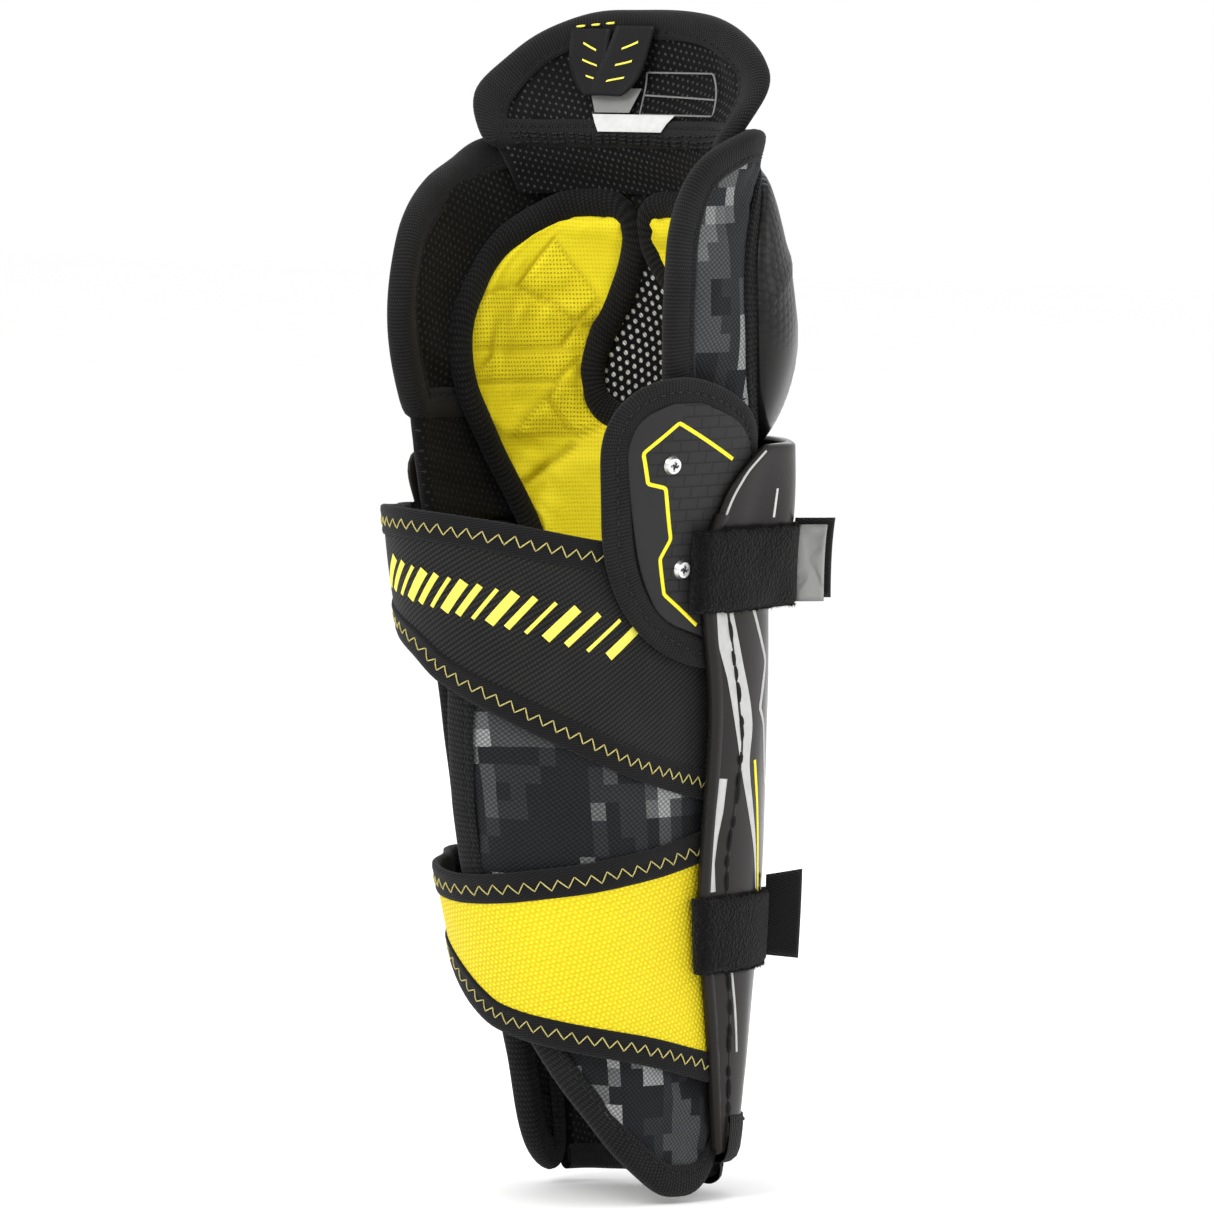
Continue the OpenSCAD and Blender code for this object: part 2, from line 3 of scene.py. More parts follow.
import bpy
import numpy as np
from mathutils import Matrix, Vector


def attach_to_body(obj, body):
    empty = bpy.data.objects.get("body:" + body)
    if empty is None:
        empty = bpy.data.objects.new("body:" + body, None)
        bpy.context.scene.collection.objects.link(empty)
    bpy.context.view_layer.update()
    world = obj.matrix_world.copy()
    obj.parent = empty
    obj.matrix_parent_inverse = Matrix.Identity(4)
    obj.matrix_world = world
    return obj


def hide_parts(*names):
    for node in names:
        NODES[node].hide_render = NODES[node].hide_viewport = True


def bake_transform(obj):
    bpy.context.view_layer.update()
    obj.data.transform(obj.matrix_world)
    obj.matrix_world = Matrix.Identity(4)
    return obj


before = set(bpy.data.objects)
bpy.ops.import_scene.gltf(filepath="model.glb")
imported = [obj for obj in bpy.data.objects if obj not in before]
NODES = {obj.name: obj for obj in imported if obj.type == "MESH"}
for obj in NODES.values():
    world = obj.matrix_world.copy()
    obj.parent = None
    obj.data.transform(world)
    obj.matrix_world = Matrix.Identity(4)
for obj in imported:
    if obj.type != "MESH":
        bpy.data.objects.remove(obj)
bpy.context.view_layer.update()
MM = 0.001

# ---- the leg surface of the CAD part: tables in millimetres and degrees ----

STATIONS = [[0, 27, 19, 34, 0, -13], [30, 29.5, 21.6, 38, 0, -12], [99, 33, 36, 52, 1, -7],
            [154, 35.5, 37.5, 60, 2, -4], [200, 38.5, 38, 66, 3, -2], [232, 45, 39, 66, 2, -1],
            [267, 50, 41, 66, 0, 0], [312, 50, 31, 60, 0, 0], [345, 60, 26, 60, 0, 0],
            [372, 61, 24, 60, 0, 0]]
WRAP_T = 6.6
SHELL_T = 2.4
CAP_T = 2.2


def smooth(t):
    s = np.clip(t, 0, 1)
    return s * s * (3 - 2 * s)


def mix(a, b, t):
    return a + (b - a) * t


def curve(table, x, column=1):
    rows = np.array(table, float)
    if len(rows) == 1:
        return np.full(np.shape(x), rows[0, column])
    xs, ys, n = rows[:, 0], rows[:, column], len(rows)
    before, after = np.maximum(np.arange(n) - 1, 0), np.minimum(np.arange(n) + 1, n - 1)
    slopes = (ys[after] - ys[before]) / (xs[after] - xs[before])
    x = np.clip(np.asarray(x, float), xs[0], xs[-1])
    i = np.clip(np.searchsorted(xs, x) - 1, 0, n - 2)
    h = xs[i + 1] - xs[i]
    t = (x - xs[i]) / h
    return ((2 * t**3 - 3 * t**2 + 1) * ys[i] + (t**3 - 2 * t**2 + t) * slopes[i] * h
            + (3 * t**2 - 2 * t**3) * ys[i + 1] + (t**3 - t**2) * slopes[i + 1] * h)


def leg(th, z, d):
    """Points at angle th, height z and offset d of the leg surface, in metres."""
    th, z, d = np.broadcast_arrays(np.asarray(th, float), np.asarray(z, float), np.asarray(d, float))
    s, c = np.sin(np.radians(th)), np.cos(np.radians(th))
    half, front, back, cx, cy = (curve(STATIONS, z, k) for k in range(1, 6))
    full = np.where(c < 0, 1 + 0.05 * np.sin(np.radians(2 * th)) ** 2, 1)
    depth = np.where(c < 0, back, front)
    return np.stack([cx - (half * full + d) * s, cy - (depth * full + d) * c, z], -1) * MM


def outward(th):
    r = np.radians(th)
    return np.stack([-np.sin(r), -np.cos(r), np.zeros_like(r)], -1)


class Plane:
    """The leg surface unrolled at one height: s round the leg and z up, in millimetres."""

    def __init__(self, z):
        self.th = np.arange(-180, 361, 2.0)
        p = leg(self.th, z, 3.0) / MM
        run = np.concatenate([[0], np.cumsum(np.linalg.norm(np.diff(p, axis=0), axis=1))])
        self.s = run - np.interp(0, self.th, run)

    def to_s(self, th):
        return np.interp(th, self.th, self.s)

    def to_th(self, s):
        return np.interp(s, self.s, self.th)


def between_sides(low, high, z0, z1):
    def chart(u, v):
        z = mix(z0, z1, v)
        return mix(curve(low, z), curve(high, z), u), z
    return chart


def between_edges(bottom, top, th0, th1):
    def chart(u, v):
        th = mix(th0, th1, u)
        return th, mix(curve(bottom, th), curve(top, th), v)
    return chart


def level(d):
    return lambda th, z: np.full(np.shape(th), float(d))


def above(surface, rise):
    return lambda th, z: surface(th, z) + rise


def inset(chart, mu, mv):
    return lambda u, v: chart(mix(mu, 1 - mu, u), mix(mv, 1 - mv, v))


def wobble(th, z, size, seed=0.0):
    """Gentle unevenness, from a few crossed waves."""
    a, b = np.radians(th) * 45 / size, np.asarray(z) / size
    return (np.sin(a * 1.3 + b * 0.7 + seed) * np.sin(b * 1.1 - a * 0.4 + seed * 2.3)
            + 0.6 * np.sin(a * 2.3 - b * 1.9 + seed * 1.7) * np.sin(b * 2.6 + a * 1.1 + seed)
            + 0.35 * np.sin(a * 4.1 + b * 3.3 + seed * 0.6)) / 1.6


# ---- mesh building ----

def make(name, points, quads, uv, materials, index=None, smooth_shading=True):
    quads = np.asarray(quads, np.int32)
    mesh = bpy.data.meshes.new(name)
    mesh.vertices.add(len(points))
    mesh.vertices.foreach_set("co", np.asarray(points, np.float32).ravel())
    mesh.loops.add(quads.size)
    mesh.loops.foreach_set("vertex_index", quads.ravel())
    mesh.polygons.add(len(quads))
    mesh.polygons.foreach_set("loop_start", np.arange(0, quads.size, 4, dtype=np.int32))
    mesh.polygons.foreach_set("loop_total", np.full(len(quads), 4, np.int32))
    if index is not None:
        mesh.polygons.foreach_set("material_index", np.asarray(index, np.int32))
    layer = mesh.uv_layers.new(name="UVMap")
    layer.data.foreach_set("uv", np.asarray(uv, np.float32)[quads.ravel()].ravel())
    mesh.polygons.foreach_set("use_smooth", np.full(len(quads), smooth_shading))
    mesh.update(calc_edges=True)
    mesh.validate()
    for m in materials:
        mesh.materials.append(m)
    o = bpy.data.objects.new(name, mesh)
    bpy.context.scene.collection.objects.link(o)
    return o


def quads_of(i):
    """The four corners of every cell in a grid of point numbers."""
    return np.stack([i[:-1, :-1], i[1:, :-1], i[1:, 1:], i[:-1, 1:]], -1).reshape(-1, 4)


def grid_quads(rows, columns, first=0):
    return quads_of(first + np.arange(rows * columns).reshape(rows, columns))


def attach(o, body, replaces=()):
    """body is a body's name, or a (body, body, start, end) tuple, for which the piece only has its transform
    baked.
    """
    if isinstance(body, str):
        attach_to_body(o, body)
    else:
        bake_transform(o)
    if replaces:
        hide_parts(*replaces)
    return o


def spaced(length, edge, step):
    near = edge * np.array([0, 0.05, 0.2, 0.45, 0.8, 1.25])
    count = max(2, int(round((length - 2 * near[-1]) / step)))
    middle = np.linspace(near[-1], length - near[-1], count + 1)
    return np.concatenate([near[:-1], middle, length - near[:-1][::-1]]) / length


def round_profile(x):
    return np.sqrt(np.clip(1 - (1 - np.clip(x, 0, 1)) ** 2, 0, 1))


SIM_STEP = 4.6


class Pillow:
    """A closed padded slab on the leg surface with rounded edges."""

    def __init__(self, chart, z_mid, inside, outside, edge):
        self.chart, self.inside, self.outside, self.edge = chart, inside, outside, edge
        self.plane = Plane(z_mid)
        th, z = chart(np.array([0, 1.0, 0.5, 0.5]), np.array([0.5, 0.5, 0, 1.0]))
        self.width = abs(self.plane.to_s(th[1]) - self.plane.to_s(th[0]))
        self.height = abs(z[3] - z[2])

    def grid(self, step, relief_out=None, relief_in=None):
        self.us = spaced(self.width, self.edge, step)
        self.vs = spaced(self.height, self.edge, step)
        u, v = np.meshgrid(self.us, self.vs)
        th, z = self.chart(u, v)
        s = self.plane.to_s(th)
        from_side = np.minimum(u, 1 - u) * np.abs(s[:, -1:] - s[:, :1])
        from_end = np.minimum(v, 1 - v) * np.abs(z[-1:, :] - z[:1, :])
        bulge = round_profile(from_side / self.edge) * round_profile(from_end / self.edge)
        low, high = self.inside(th, z), self.outside(th, z)
        middle, half = (low + high) / 2, (high - low) / 2 * bulge
        free = smooth(from_side / self.edge) * smooth(from_end / self.edge)
        d_out, d_in = middle + half, middle - half
        if relief_out is not None:
            d_out = d_out + relief_out(th, z) * free
        if relief_in is not None:
            d_in = d_in + relief_in(th, z) * free
        return leg(th, z, d_out), leg(th, z, d_in), np.stack([s, z], -1)


def closed_mesh(name, outer, inner, uv, materials):
    rows, columns = outer.shape[:2]
    out_index = np.arange(rows * columns).reshape(rows, columns)
    in_index = out_index.copy()
    in_index[1:-1, 1:-1] = rows * columns + np.arange((rows - 2) * (columns - 2)).reshape(rows - 2,
                                                                                          columns - 2)
    points = np.concatenate([outer.reshape(-1, 3), inner[1:-1, 1:-1].reshape(-1, 3)])
    flat_uv = np.concatenate([uv.reshape(-1, 2), uv[1:-1, 1:-1].reshape(-1, 2)])
    faces = np.concatenate([quads_of(out_index), quads_of(in_index)[:, ::-1]])
    index = np.repeat([0, len(materials) - 1], len(faces) // 2)
    return make(name, points, faces, flat_uv, materials, index)


def cloth_move(outer, inner, uv, pins, pressure, swell, frames, cap):
    """Runs a cloth simulation on a coarse padded slab and returns how its two faces moved."""
    o = closed_mesh("sim", outer, inner, uv, [bpy.data.materials.new("sim")])
    rows, columns = outer.shape[:2]
    start = np.zeros(len(o.data.vertices) * 3, np.float32)
    o.data.vertices.foreach_get("co", start)
    group = o.vertex_groups.new(name="pin")
    group.add([int(i) for i in np.flatnonzero(pins.ravel())], 1.0, "REPLACE")
    cloth = o.modifiers.new("Cloth", "CLOTH")
    c = cloth.settings
    c.quality, c.mass, c.air_damping = 4, 0.12, 4.0
    c.tension_stiffness = c.compression_stiffness = 12
    c.shear_stiffness, c.bending_stiffness = 4, 0.15
    c.vertex_group_mass = "pin"
    c.shrink_min = -swell
    c.use_pressure, c.uniform_pressure_force = True, pressure
    c.effector_weights.gravity = 0
    cloth.collision_settings.use_collision = False
    cloth.point_cache.frame_start, cloth.point_cache.frame_end = 1, frames
    for f in range(1, frames + 1):
        bpy.context.scene.frame_set(f)
    result = o.evaluated_get(bpy.context.evaluated_depsgraph_get()).data
    after = np.zeros_like(start)
    result.vertices.foreach_get("co", after)
    bpy.data.objects.remove(o)
    bpy.context.scene.frame_set(1)
    move = (after - start).reshape(-1, 3).astype(float)
    size = np.linalg.norm(move, axis=1, keepdims=True)
    move *= np.minimum(1, cap / np.maximum(size, 1e-9))
    out_move = move[:rows * columns].reshape(rows, columns, 3)
    in_move = out_move.copy()
    in_move[1:-1, 1:-1] = move[rows * columns:].reshape(rows - 2, columns - 2, 3)
    return out_move, in_move


def weights(coarse, fine):
    basis = np.eye(len(coarse))
    return np.stack([curve(np.stack([coarse, basis[k]], 1), fine) for k in range(len(coarse))], 1)


def padded_slab(name, chart, z_mid, inside, outside, edge, step, materials, relief_out=None,
                relief_in=None, sim=None):
    """A padded piece: simulated on a coarse grid when sim is given, then built on a fine one."""
    p = Pillow(chart, z_mid, inside, outside, edge)
    moves = None
    if sim:
        outer, inner, uv = p.grid(SIM_STEP)
        us, vs = p.us, p.vs
        pins = np.zeros(outer.shape[:2], bool)
        pins[:2], pins[-2:], pins[:, :2], pins[:, -2:] = True, True, True, True
        moves = cloth_move(outer, inner, uv, pins, *sim)
    outer, inner, uv = p.grid(step, relief_out, relief_in)
    if moves:
        wu, wv = weights(us, p.us), weights(vs, p.vs)
        outer = outer + np.einsum("ai,bj,ijk->abk", wv, wu, moves[0])
        inner = inner + np.einsum("ai,bj,ijk->abk", wv, wu, moves[1])
    return closed_mesh(name, outer, inner, uv, materials)


# ---- paths on the surface: bindings, tubes, stitches ----

class Path:
    """A line on the unrolled surface, evenly sampled, with the direction to its left."""

    def __init__(self, th, z, plane, step=2.5, closed=False, soften=0.0):
        self.plane, self.closed = plane, closed
        q = np.stack([plane.to_s(np.asarray(th, float)), np.asarray(z, float)], 1)
        if closed:
            q = np.concatenate([q, q[:1]])
        q = self.resample(q, 1.0)
        if soften:
            reach = int(soften * 3)
            kernel = np.exp(-0.5 * (np.arange(-reach, reach + 1) / soften) ** 2)
            kernel /= kernel.sum()
            if closed:
                ring = q[:-1]
                padded = np.concatenate([ring[-reach:], ring, ring[:reach]])
                q = np.stack([np.convolve(padded[:, k], kernel, "valid") for k in (0, 1)], 1)
                q = np.concatenate([q, q[:1]])
            else:
                head = 2 * q[0] - q[reach:0:-1]
                tail = 2 * q[-1] - q[-2:-reach - 2:-1]
                padded = np.concatenate([head, q, tail])
                q = np.stack([np.convolve(padded[:, k], kernel, "valid") for k in (0, 1)], 1)
        q = self.resample(q, step)
        if closed:
            ahead, behind = np.concatenate([q[1:], q[1:2]]), np.concatenate([q[-2:-1], q[:-1]])
            t = ahead - behind
        else:
            t = np.gradient(q, axis=0)
        t /= np.linalg.norm(t, axis=1, keepdims=True)
        self.q, self.left = q, np.stack([-t[:, 1], t[:, 0]], 1)
        self.run = np.concatenate([[0], np.cumsum(np.linalg.norm(np.diff(q, axis=0), axis=1))])
        self.length = self.run[-1]

    @staticmethod
    def resample(q, step):
        run = np.concatenate([[0], np.cumsum(np.linalg.norm(np.diff(q, axis=0), axis=1))])
        at = np.linspace(0, run[-1], max(3, int(round(run[-1] / step)) + 1))
        return np.stack([np.interp(at, run, q[:, k]) for k in (0, 1)], 1)

    def spot(self, distance, aside):
        """Angle and height at a distance along the path, moved aside to its left."""
        q = np.stack([np.interp(distance, self.run, self.q[:, k]) for k in (0, 1)], -1)
        n = np.stack([np.interp(distance, self.run, self.left[:, k]) for k in (0, 1)], -1)
        q = q + n * np.asarray(aside)[..., None]
        return self.plane.to_th(q[..., 0]), q[..., 1]


def outline(chart, plane, step=2.5, soften=4.0):
    t = np.linspace(0, 1, 60, endpoint=False)
    o, i = np.zeros(60), np.ones(60)
    th, z = chart(np.concatenate([t, i, 1 - t, o]), np.concatenate([o, t, i, 1 - t]))
    return Path(th, z, plane, step, True, soften)


def sweep(name, path, profile, inside, outside, materials, closed_profile=False, uneven=0.0):
    """profile rows are [distance to the left, share of the thickness, extra offset]."""
    profile = np.array(profile, float)
    if closed_profile:
        profile = np.concatenate([profile, profile[:1]])
    n, m = len(path.run), len(profile)
    distance = np.repeat(path.run[:, None], m, 1)
    aside = np.repeat(profile[None, :, 0], n, 0)
    if uneven:
        aside = aside + uneven * np.sin(distance / 5.3) * np.sin(distance / 13.7)
    th, z = path.spot(distance, aside)
    low, high = inside(th, z), outside(th, z)
    d = mix(low, high, profile[None, :, 1]) + profile[None, :, 2]
    points = leg(th, z, d)
    across = np.concatenate([[0], np.cumsum(np.hypot(np.diff(profile[:, 0]),
                                                     np.diff(profile[:, 1]) * 6 + np.diff(profile[:, 2])))])
    uv = np.stack([distance, np.repeat(across[None, :], n, 0)], -1)
    faces = grid_quads(n, m)
    return make(name, points.reshape(-1, 3), faces, uv.reshape(-1, 2), materials)


def tape_profile(width, thick, proud=0.0, groove=1.6):
    """A tape folded round an edge, with a sewn groove near both of its borders."""
    r = thick / 2
    face = [[width + 0.7, -0.6], [width + 0.1, -0.1], [width - 0.6, 0.22], [width - groove + 0.5, 0.1],
            [width - groove, -0.12], [width - groove - 0.5, 0.1], [width - groove - 1.3, 0.25],
            [r * 1.2, 0.25]]
    turn = [[r * (1 - math.cos(math.radians(a))), 0.5 + 0.5 * math.sin(math.radians(a))]
            for a in (-72, -54, -36, -18, 0, 18, 36, 54, 72)]
    return ([[a, 0, -b - proud] for a, b in face]
            + [[a, t, proud * (2 * t - 1) + 0.2 * (2 * t - 1)] for a, t in turn]
            + [[a, 1, b + proud] for a, b in reversed(face)])


def tubes(name, centre, up, radius, sides, materials):
    """centre and up are (tubes, points, 3); radius is (points) or (tubes, points)."""
    centre, up = np.asarray(centre, float), np.asarray(up, float)
    count, n = centre.shape[:2]
    tangent = np.gradient(centre, axis=1)
    tangent /= np.maximum(np.linalg.norm(tangent, axis=2, keepdims=True), 1e-12)
    side = np.cross(tangent, up)
    side /= np.maximum(np.linalg.norm(side, axis=2, keepdims=True), 1e-12)
    normal = np.cross(side, tangent)
    angle = np.linspace(0, 2 * math.pi, sides + 1)
    r = np.broadcast_to(np.asarray(radius, float) * MM, (count, n))[..., None, None]
    ring = centre[:, :, None] + r * (np.cos(angle)[:, None] * normal[:, :, None]
                                     + np.sin(angle)[:, None] * side[:, :, None])
    run = np.concatenate([np.zeros((count, 1)), np.cumsum(np.linalg.norm(np.diff(centre, axis=1),
                                                                         axis=2), 1)], 1) / MM
    uv = np.stack(np.broadcast_arrays(run[:, :, None], angle[None, None, :]), -1)
    faces = np.concatenate([grid_quads(n, sides + 1, k * n * (sides + 1)) for k in range(count)])
    return make(name, ring.reshape(-1, 3), faces, uv.reshape(-1, 2), materials)


def running_stitch(name, path, aside, offset, material, length=3.0, gap=1.4, r=0.32, uneven=0.0, start=1.0):
    """Separate stitches along a path: each one rises out of the cloth and goes back into it."""
    pitch = length + gap
    count = max(1, int((path.length - 2 * start) / pitch))
    k = np.arange(count)
    begin = start + k * pitch + uneven * np.sin(k * 2.1)
    long = length * (1 + 0.35 * uneven * np.sin(k * 3.7))
    t = np.array([0, 0.12, 0.35, 0.65, 0.88, 1.0])
    distance = begin[:, None] + long[:, None] * t
    th, z = path.spot(distance,
                      np.full(distance.shape, float(aside)) + (uneven * 0.35 * np.sin(k * 1.3))[:, None])
    lift = r * np.array([-1.3, -0.1, 0.35, 0.35, -0.1, -1.3])
    centre = leg(th, z, offset(th, z) + lift)
    return tubes(name, centre, outward(th), r * np.array([0.5, 0.9, 1, 1, 0.9, 0.5]), 6, [material])


def seam(name, path, aside, offset, body, length=2.6, gap=1.3, r=0.28, uneven=0.0):
    """A row of black stitches on a body."""
    attach(running_stitch(name, path, aside, offset, M_THREAD_BLACK, length, gap, r, uneven), body)


def zigzag_stitch(name, path, aside, offset, material, pitch=4.4, reach=1.5, r=0.21):
    """One thread that crosses from side to side."""
    count = int(path.length / pitch * 2)
    k = np.arange(count + 1)
    corners = k * pitch / 2
    corner_side = np.where(k % 2 == 0, reach, -reach) * (1 + 0.12 * np.sin(k * 1.9))
    share = np.arange(0, 1, 0.2)
    at = (corners[:-1, None] + share * (pitch / 2)).ravel()
    side = (corner_side[:-1, None] + share * np.diff(corner_side)[:, None]).ravel()
    lift = np.tile(r * np.array([-0.7, 0.3, 0.6, 0.6, 0.3]), count)
    th, z = path.spot(at, side + aside)
    centre = leg(th, z, offset(th, z) + lift)[None]
    return tubes(name, centre, outward(th)[None], r, 5, [material])


def strip(name, path, half, offset, material, thick=0.12):
    """A thin printed or welded line along a path; half is its half width at each share of the way."""
    across = np.array([-1, -0.9, 0.9, 1.0])
    rise = np.array([-0.15, thick, thick, -0.15])
    share = path.run / path.length
    width = curve(half, share) if not np.isscalar(half) else np.full(len(share), float(half))
    distance = np.repeat(path.run[:, None], 4, 1)
    th, z = path.spot(distance, width[:, None] * across)
    points = leg(th, z, offset(th, z) + rise)
    uv = np.stack([distance, np.repeat(across[None], len(share), 0)], -1)
    return make(name, points.reshape(-1, 3), grid_quads(len(share), 4), uv.reshape(-1, 2), [material])


def printed(body, *line):
    attach(strip(*line), body)


def area(name, chart, offset, material, step=2.0, thick=0.1):
    """A thin printed area."""
    return padded_slab(name, chart, 150, above(offset, -0.1),
                       above(offset, thick), 0.35, step, [material])


def fuzz(name, th, z, d, direction, length, material, seed, width=0.09):
    """Short curled fibres that stand out of loop tape."""
    rng = np.random.default_rng(seed)
    n = len(th)
    base = leg(th, z, d)
    bend = rng.normal(0, 0.55, (n, 3))
    way = direction + bend
    way /= np.linalg.norm(way, axis=1, keepdims=True)
    tip = way + rng.normal(0, 0.6, (n, 3))
    long = (length * rng.uniform(0.4, 1.2, n) * MM)[:, None]
    side = np.cross(way, rng.normal(0, 1, (n, 3)))
    side = side / np.linalg.norm(side, axis=1, keepdims=True) * width * MM / 2
    middle, end = base + way * long * 0.55, base + (way * 0.55 + tip * 0.45) * long
    points = np.stack([base - side, base + side, middle - side, middle + side,
                       end - side * 0.3, end + side * 0.3], 1)
    first = np.arange(n)[:, None] * 6
    faces = np.concatenate([first + np.array([0, 1, 3, 2]), first + np.array([2, 3, 5, 4])])
    uv = np.tile([[0, 0], [0.1, 0], [0, 0.5], [0.1, 0.5], [0, 1], [0.1, 1]], (n, 1))
    return make(name, points.reshape(-1, 3), faces, uv, [material])


# ---- materials ----

class Shader:
    """Builds one node material."""

    def __init__(self, name, rough=0.6, sheen=0.0, metallic=0.0, coat=0.0, specular=0.5):
        self.material = bpy.data.materials.new(name)
        self.material.use_nodes = True
        self.tree = self.material.node_tree
        self.tree.nodes.clear()
        self.out = self.tree.nodes.new("ShaderNodeOutputMaterial")
        self.bsdf = self.tree.nodes.new("ShaderNodeBsdfPrincipled")
        self.tree.links.new(self.bsdf.outputs[0], self.out.inputs[0])
        put = self.bsdf.inputs
        put["Roughness"].default_value = rough
        put["Metallic"].default_value = metallic
        put["Sheen Weight"].default_value = sheen
        put["Sheen Roughness"].default_value = 0.5
        put["Coat Weight"].default_value = coat
        put["Coat Roughness"].default_value = 0.18
        put["Specular IOR Level"].default_value = specular
        self.uv = self.node("ShaderNodeUVMap").outputs[0]
        self.place = self.node("ShaderNodeTexCoord").outputs["Object"]
        split = self.node("ShaderNodeSeparateXYZ", self.uv)
        self.u, self.v = split.outputs[0], split.outputs[1]

    def node(self, kind, *values, **settings):
        n = self.tree.nodes.new(kind)
        for k, x in settings.items():
            setattr(n, k, x)
        for i, x in enumerate(values):
            if x is None:
                continue
            if isinstance(x, bpy.types.NodeSocket):
                self.tree.links.new(x, n.inputs[i])
            else:
                n.inputs[i].default_value = x
        return n

    def math(self, operation, a, b=None, c=None):
        return self.node("ShaderNodeMath", a, b, c, operation=operation).outputs[0]

    def add(self, *terms):
        total = terms[0]
        for t in terms[1:]:
            total = self.math("ADD", total, t)
        return total

    def times(self, a, b):
        return self.math("MULTIPLY", a, b)

    def along(self, angle, pitch):
        """A coordinate across lines at that angle, in turns of 2 pi per pitch."""
        k = 2 * math.pi / pitch
        r = math.radians(angle)
        return self.add(self.times(self.u, k * math.cos(r)), self.times(self.v, k * math.sin(r)))

    def lines(self, angle, pitch):
        wave = self.math("SINE", self.along(angle, pitch))
        return self.math("MULTIPLY_ADD", wave, 0.5, 0.5)

    def dots(self, pitch, turn=0.0):
        """Rows of round dots in a triangular grid: 1 in their middles."""
        waves = [self.math("COSINE", self.along(a + turn, pitch * 0.866)) for a in (0, 60, 120)]
        return self.math("MULTIPLY_ADD", self.add(*waves), 0.222, 0.333)

    def noise(self, scale, detail=2.0, rough=0.5):
        return self.node("ShaderNodeTexNoise", self.place, None, scale, detail, rough).outputs[0]

    def ramp(self, value, *stops, constant=False):
        n = self.node("ShaderNodeValToRGB", value)
        r = n.color_ramp
        r.interpolation = "CONSTANT" if constant else "LINEAR"
        while len(r.elements) < len(stops):
            r.elements.new(0.5)
        for e, (at, colour) in zip(r.elements, stops):
            e.position = at
            e.color = (*colour, 1) if len(colour) == 3 else colour
        return n.outputs[0]

    def blend(self, factor, a, b):
        n = self.node("ShaderNodeMix", data_type="RGBA")
        for i, x in ((0, factor), (6, a), (7, b)):
            if isinstance(x, bpy.types.NodeSocket):
                self.tree.links.new(x, n.inputs[i])
            elif i == 0:
                n.inputs[i].default_value = x
            else:
                n.inputs[i].default_value = (*x, 1)
        return n.outputs[2]

    def shade(self, colour, value, low, high):
        """colour made darker or lighter by a value from 0 to 1."""
        scale = self.math("MULTIPLY_ADD", value, high - low, low)
        n = self.node("ShaderNodeVectorMath", operation="SCALE")
        if isinstance(colour, bpy.types.NodeSocket):
            self.tree.links.new(colour, n.inputs[0])
        else:
            n.inputs[0].default_value = colour
        self.tree.links.new(scale, n.inputs["Scale"])
        return n.outputs[0]

    def finish(self, colour, height=None, depth=0.1, rough=None):
        """height is a value around 0 to 1 and depth what it stands for in millimetres."""
        if isinstance(colour, bpy.types.NodeSocket):
            self.tree.links.new(colour, self.bsdf.inputs["Base Color"])
        else:
            self.bsdf.inputs["Base Color"].default_value = (*colour, 1)
        if rough is not None:
            self.tree.links.new(rough, self.bsdf.inputs["Roughness"])
        if height is not None:
            bump = self.node("ShaderNodeBump")
            bump.inputs["Strength"].default_value = 1.0
            bump.inputs["Distance"].default_value = depth * MM
            self.tree.links.new(height, bump.inputs["Height"])
            self.tree.links.new(bump.outputs[0], self.bsdf.inputs["Normal"])
        return self.material


def knit_tape(name, colour=(0.0072, 0.0071, 0.0072), pitch=1.15, depth=0.2):
    s = Shader(name, rough=0.85, sheen=0.05, specular=0.1)
    ribs = s.lines(0, pitch)
    cross = s.lines(68, pitch * 0.62)
    worn = s.noise(90, 3)
    height = s.add(s.times(ribs, 0.6), s.times(cross, 0.3), s.times(s.noise(2400, 2), 0.5))
    value = s.add(s.times(s.math("MULTIPLY", ribs, cross), 0.8), s.times(worn, 0.35))
    return s.finish(s.shade(colour, value, 0.35, 3.4), height, depth)


def twill(name, colour, angle=62, pitch=1.05, low=0.3, high=3.2, specular=0.1):
    s = Shader(name, rough=0.82, sheen=0.06, specular=specular)
    diagonal = s.lines(angle, pitch)
    cross = s.lines(angle - 78, pitch * 0.8)
    patch = s.noise(60, 3)
    weave = s.math("MULTIPLY", diagonal, s.math("MULTIPLY_ADD", cross, 0.6, 0.4))
    tint = s.shade(colour, s.add(s.times(weave, 0.85), s.times(patch, 0.3)), low, high)
    return s.finish(tint, s.add(weave, s.times(s.noise(2600, 2), 0.4)), 0.2)


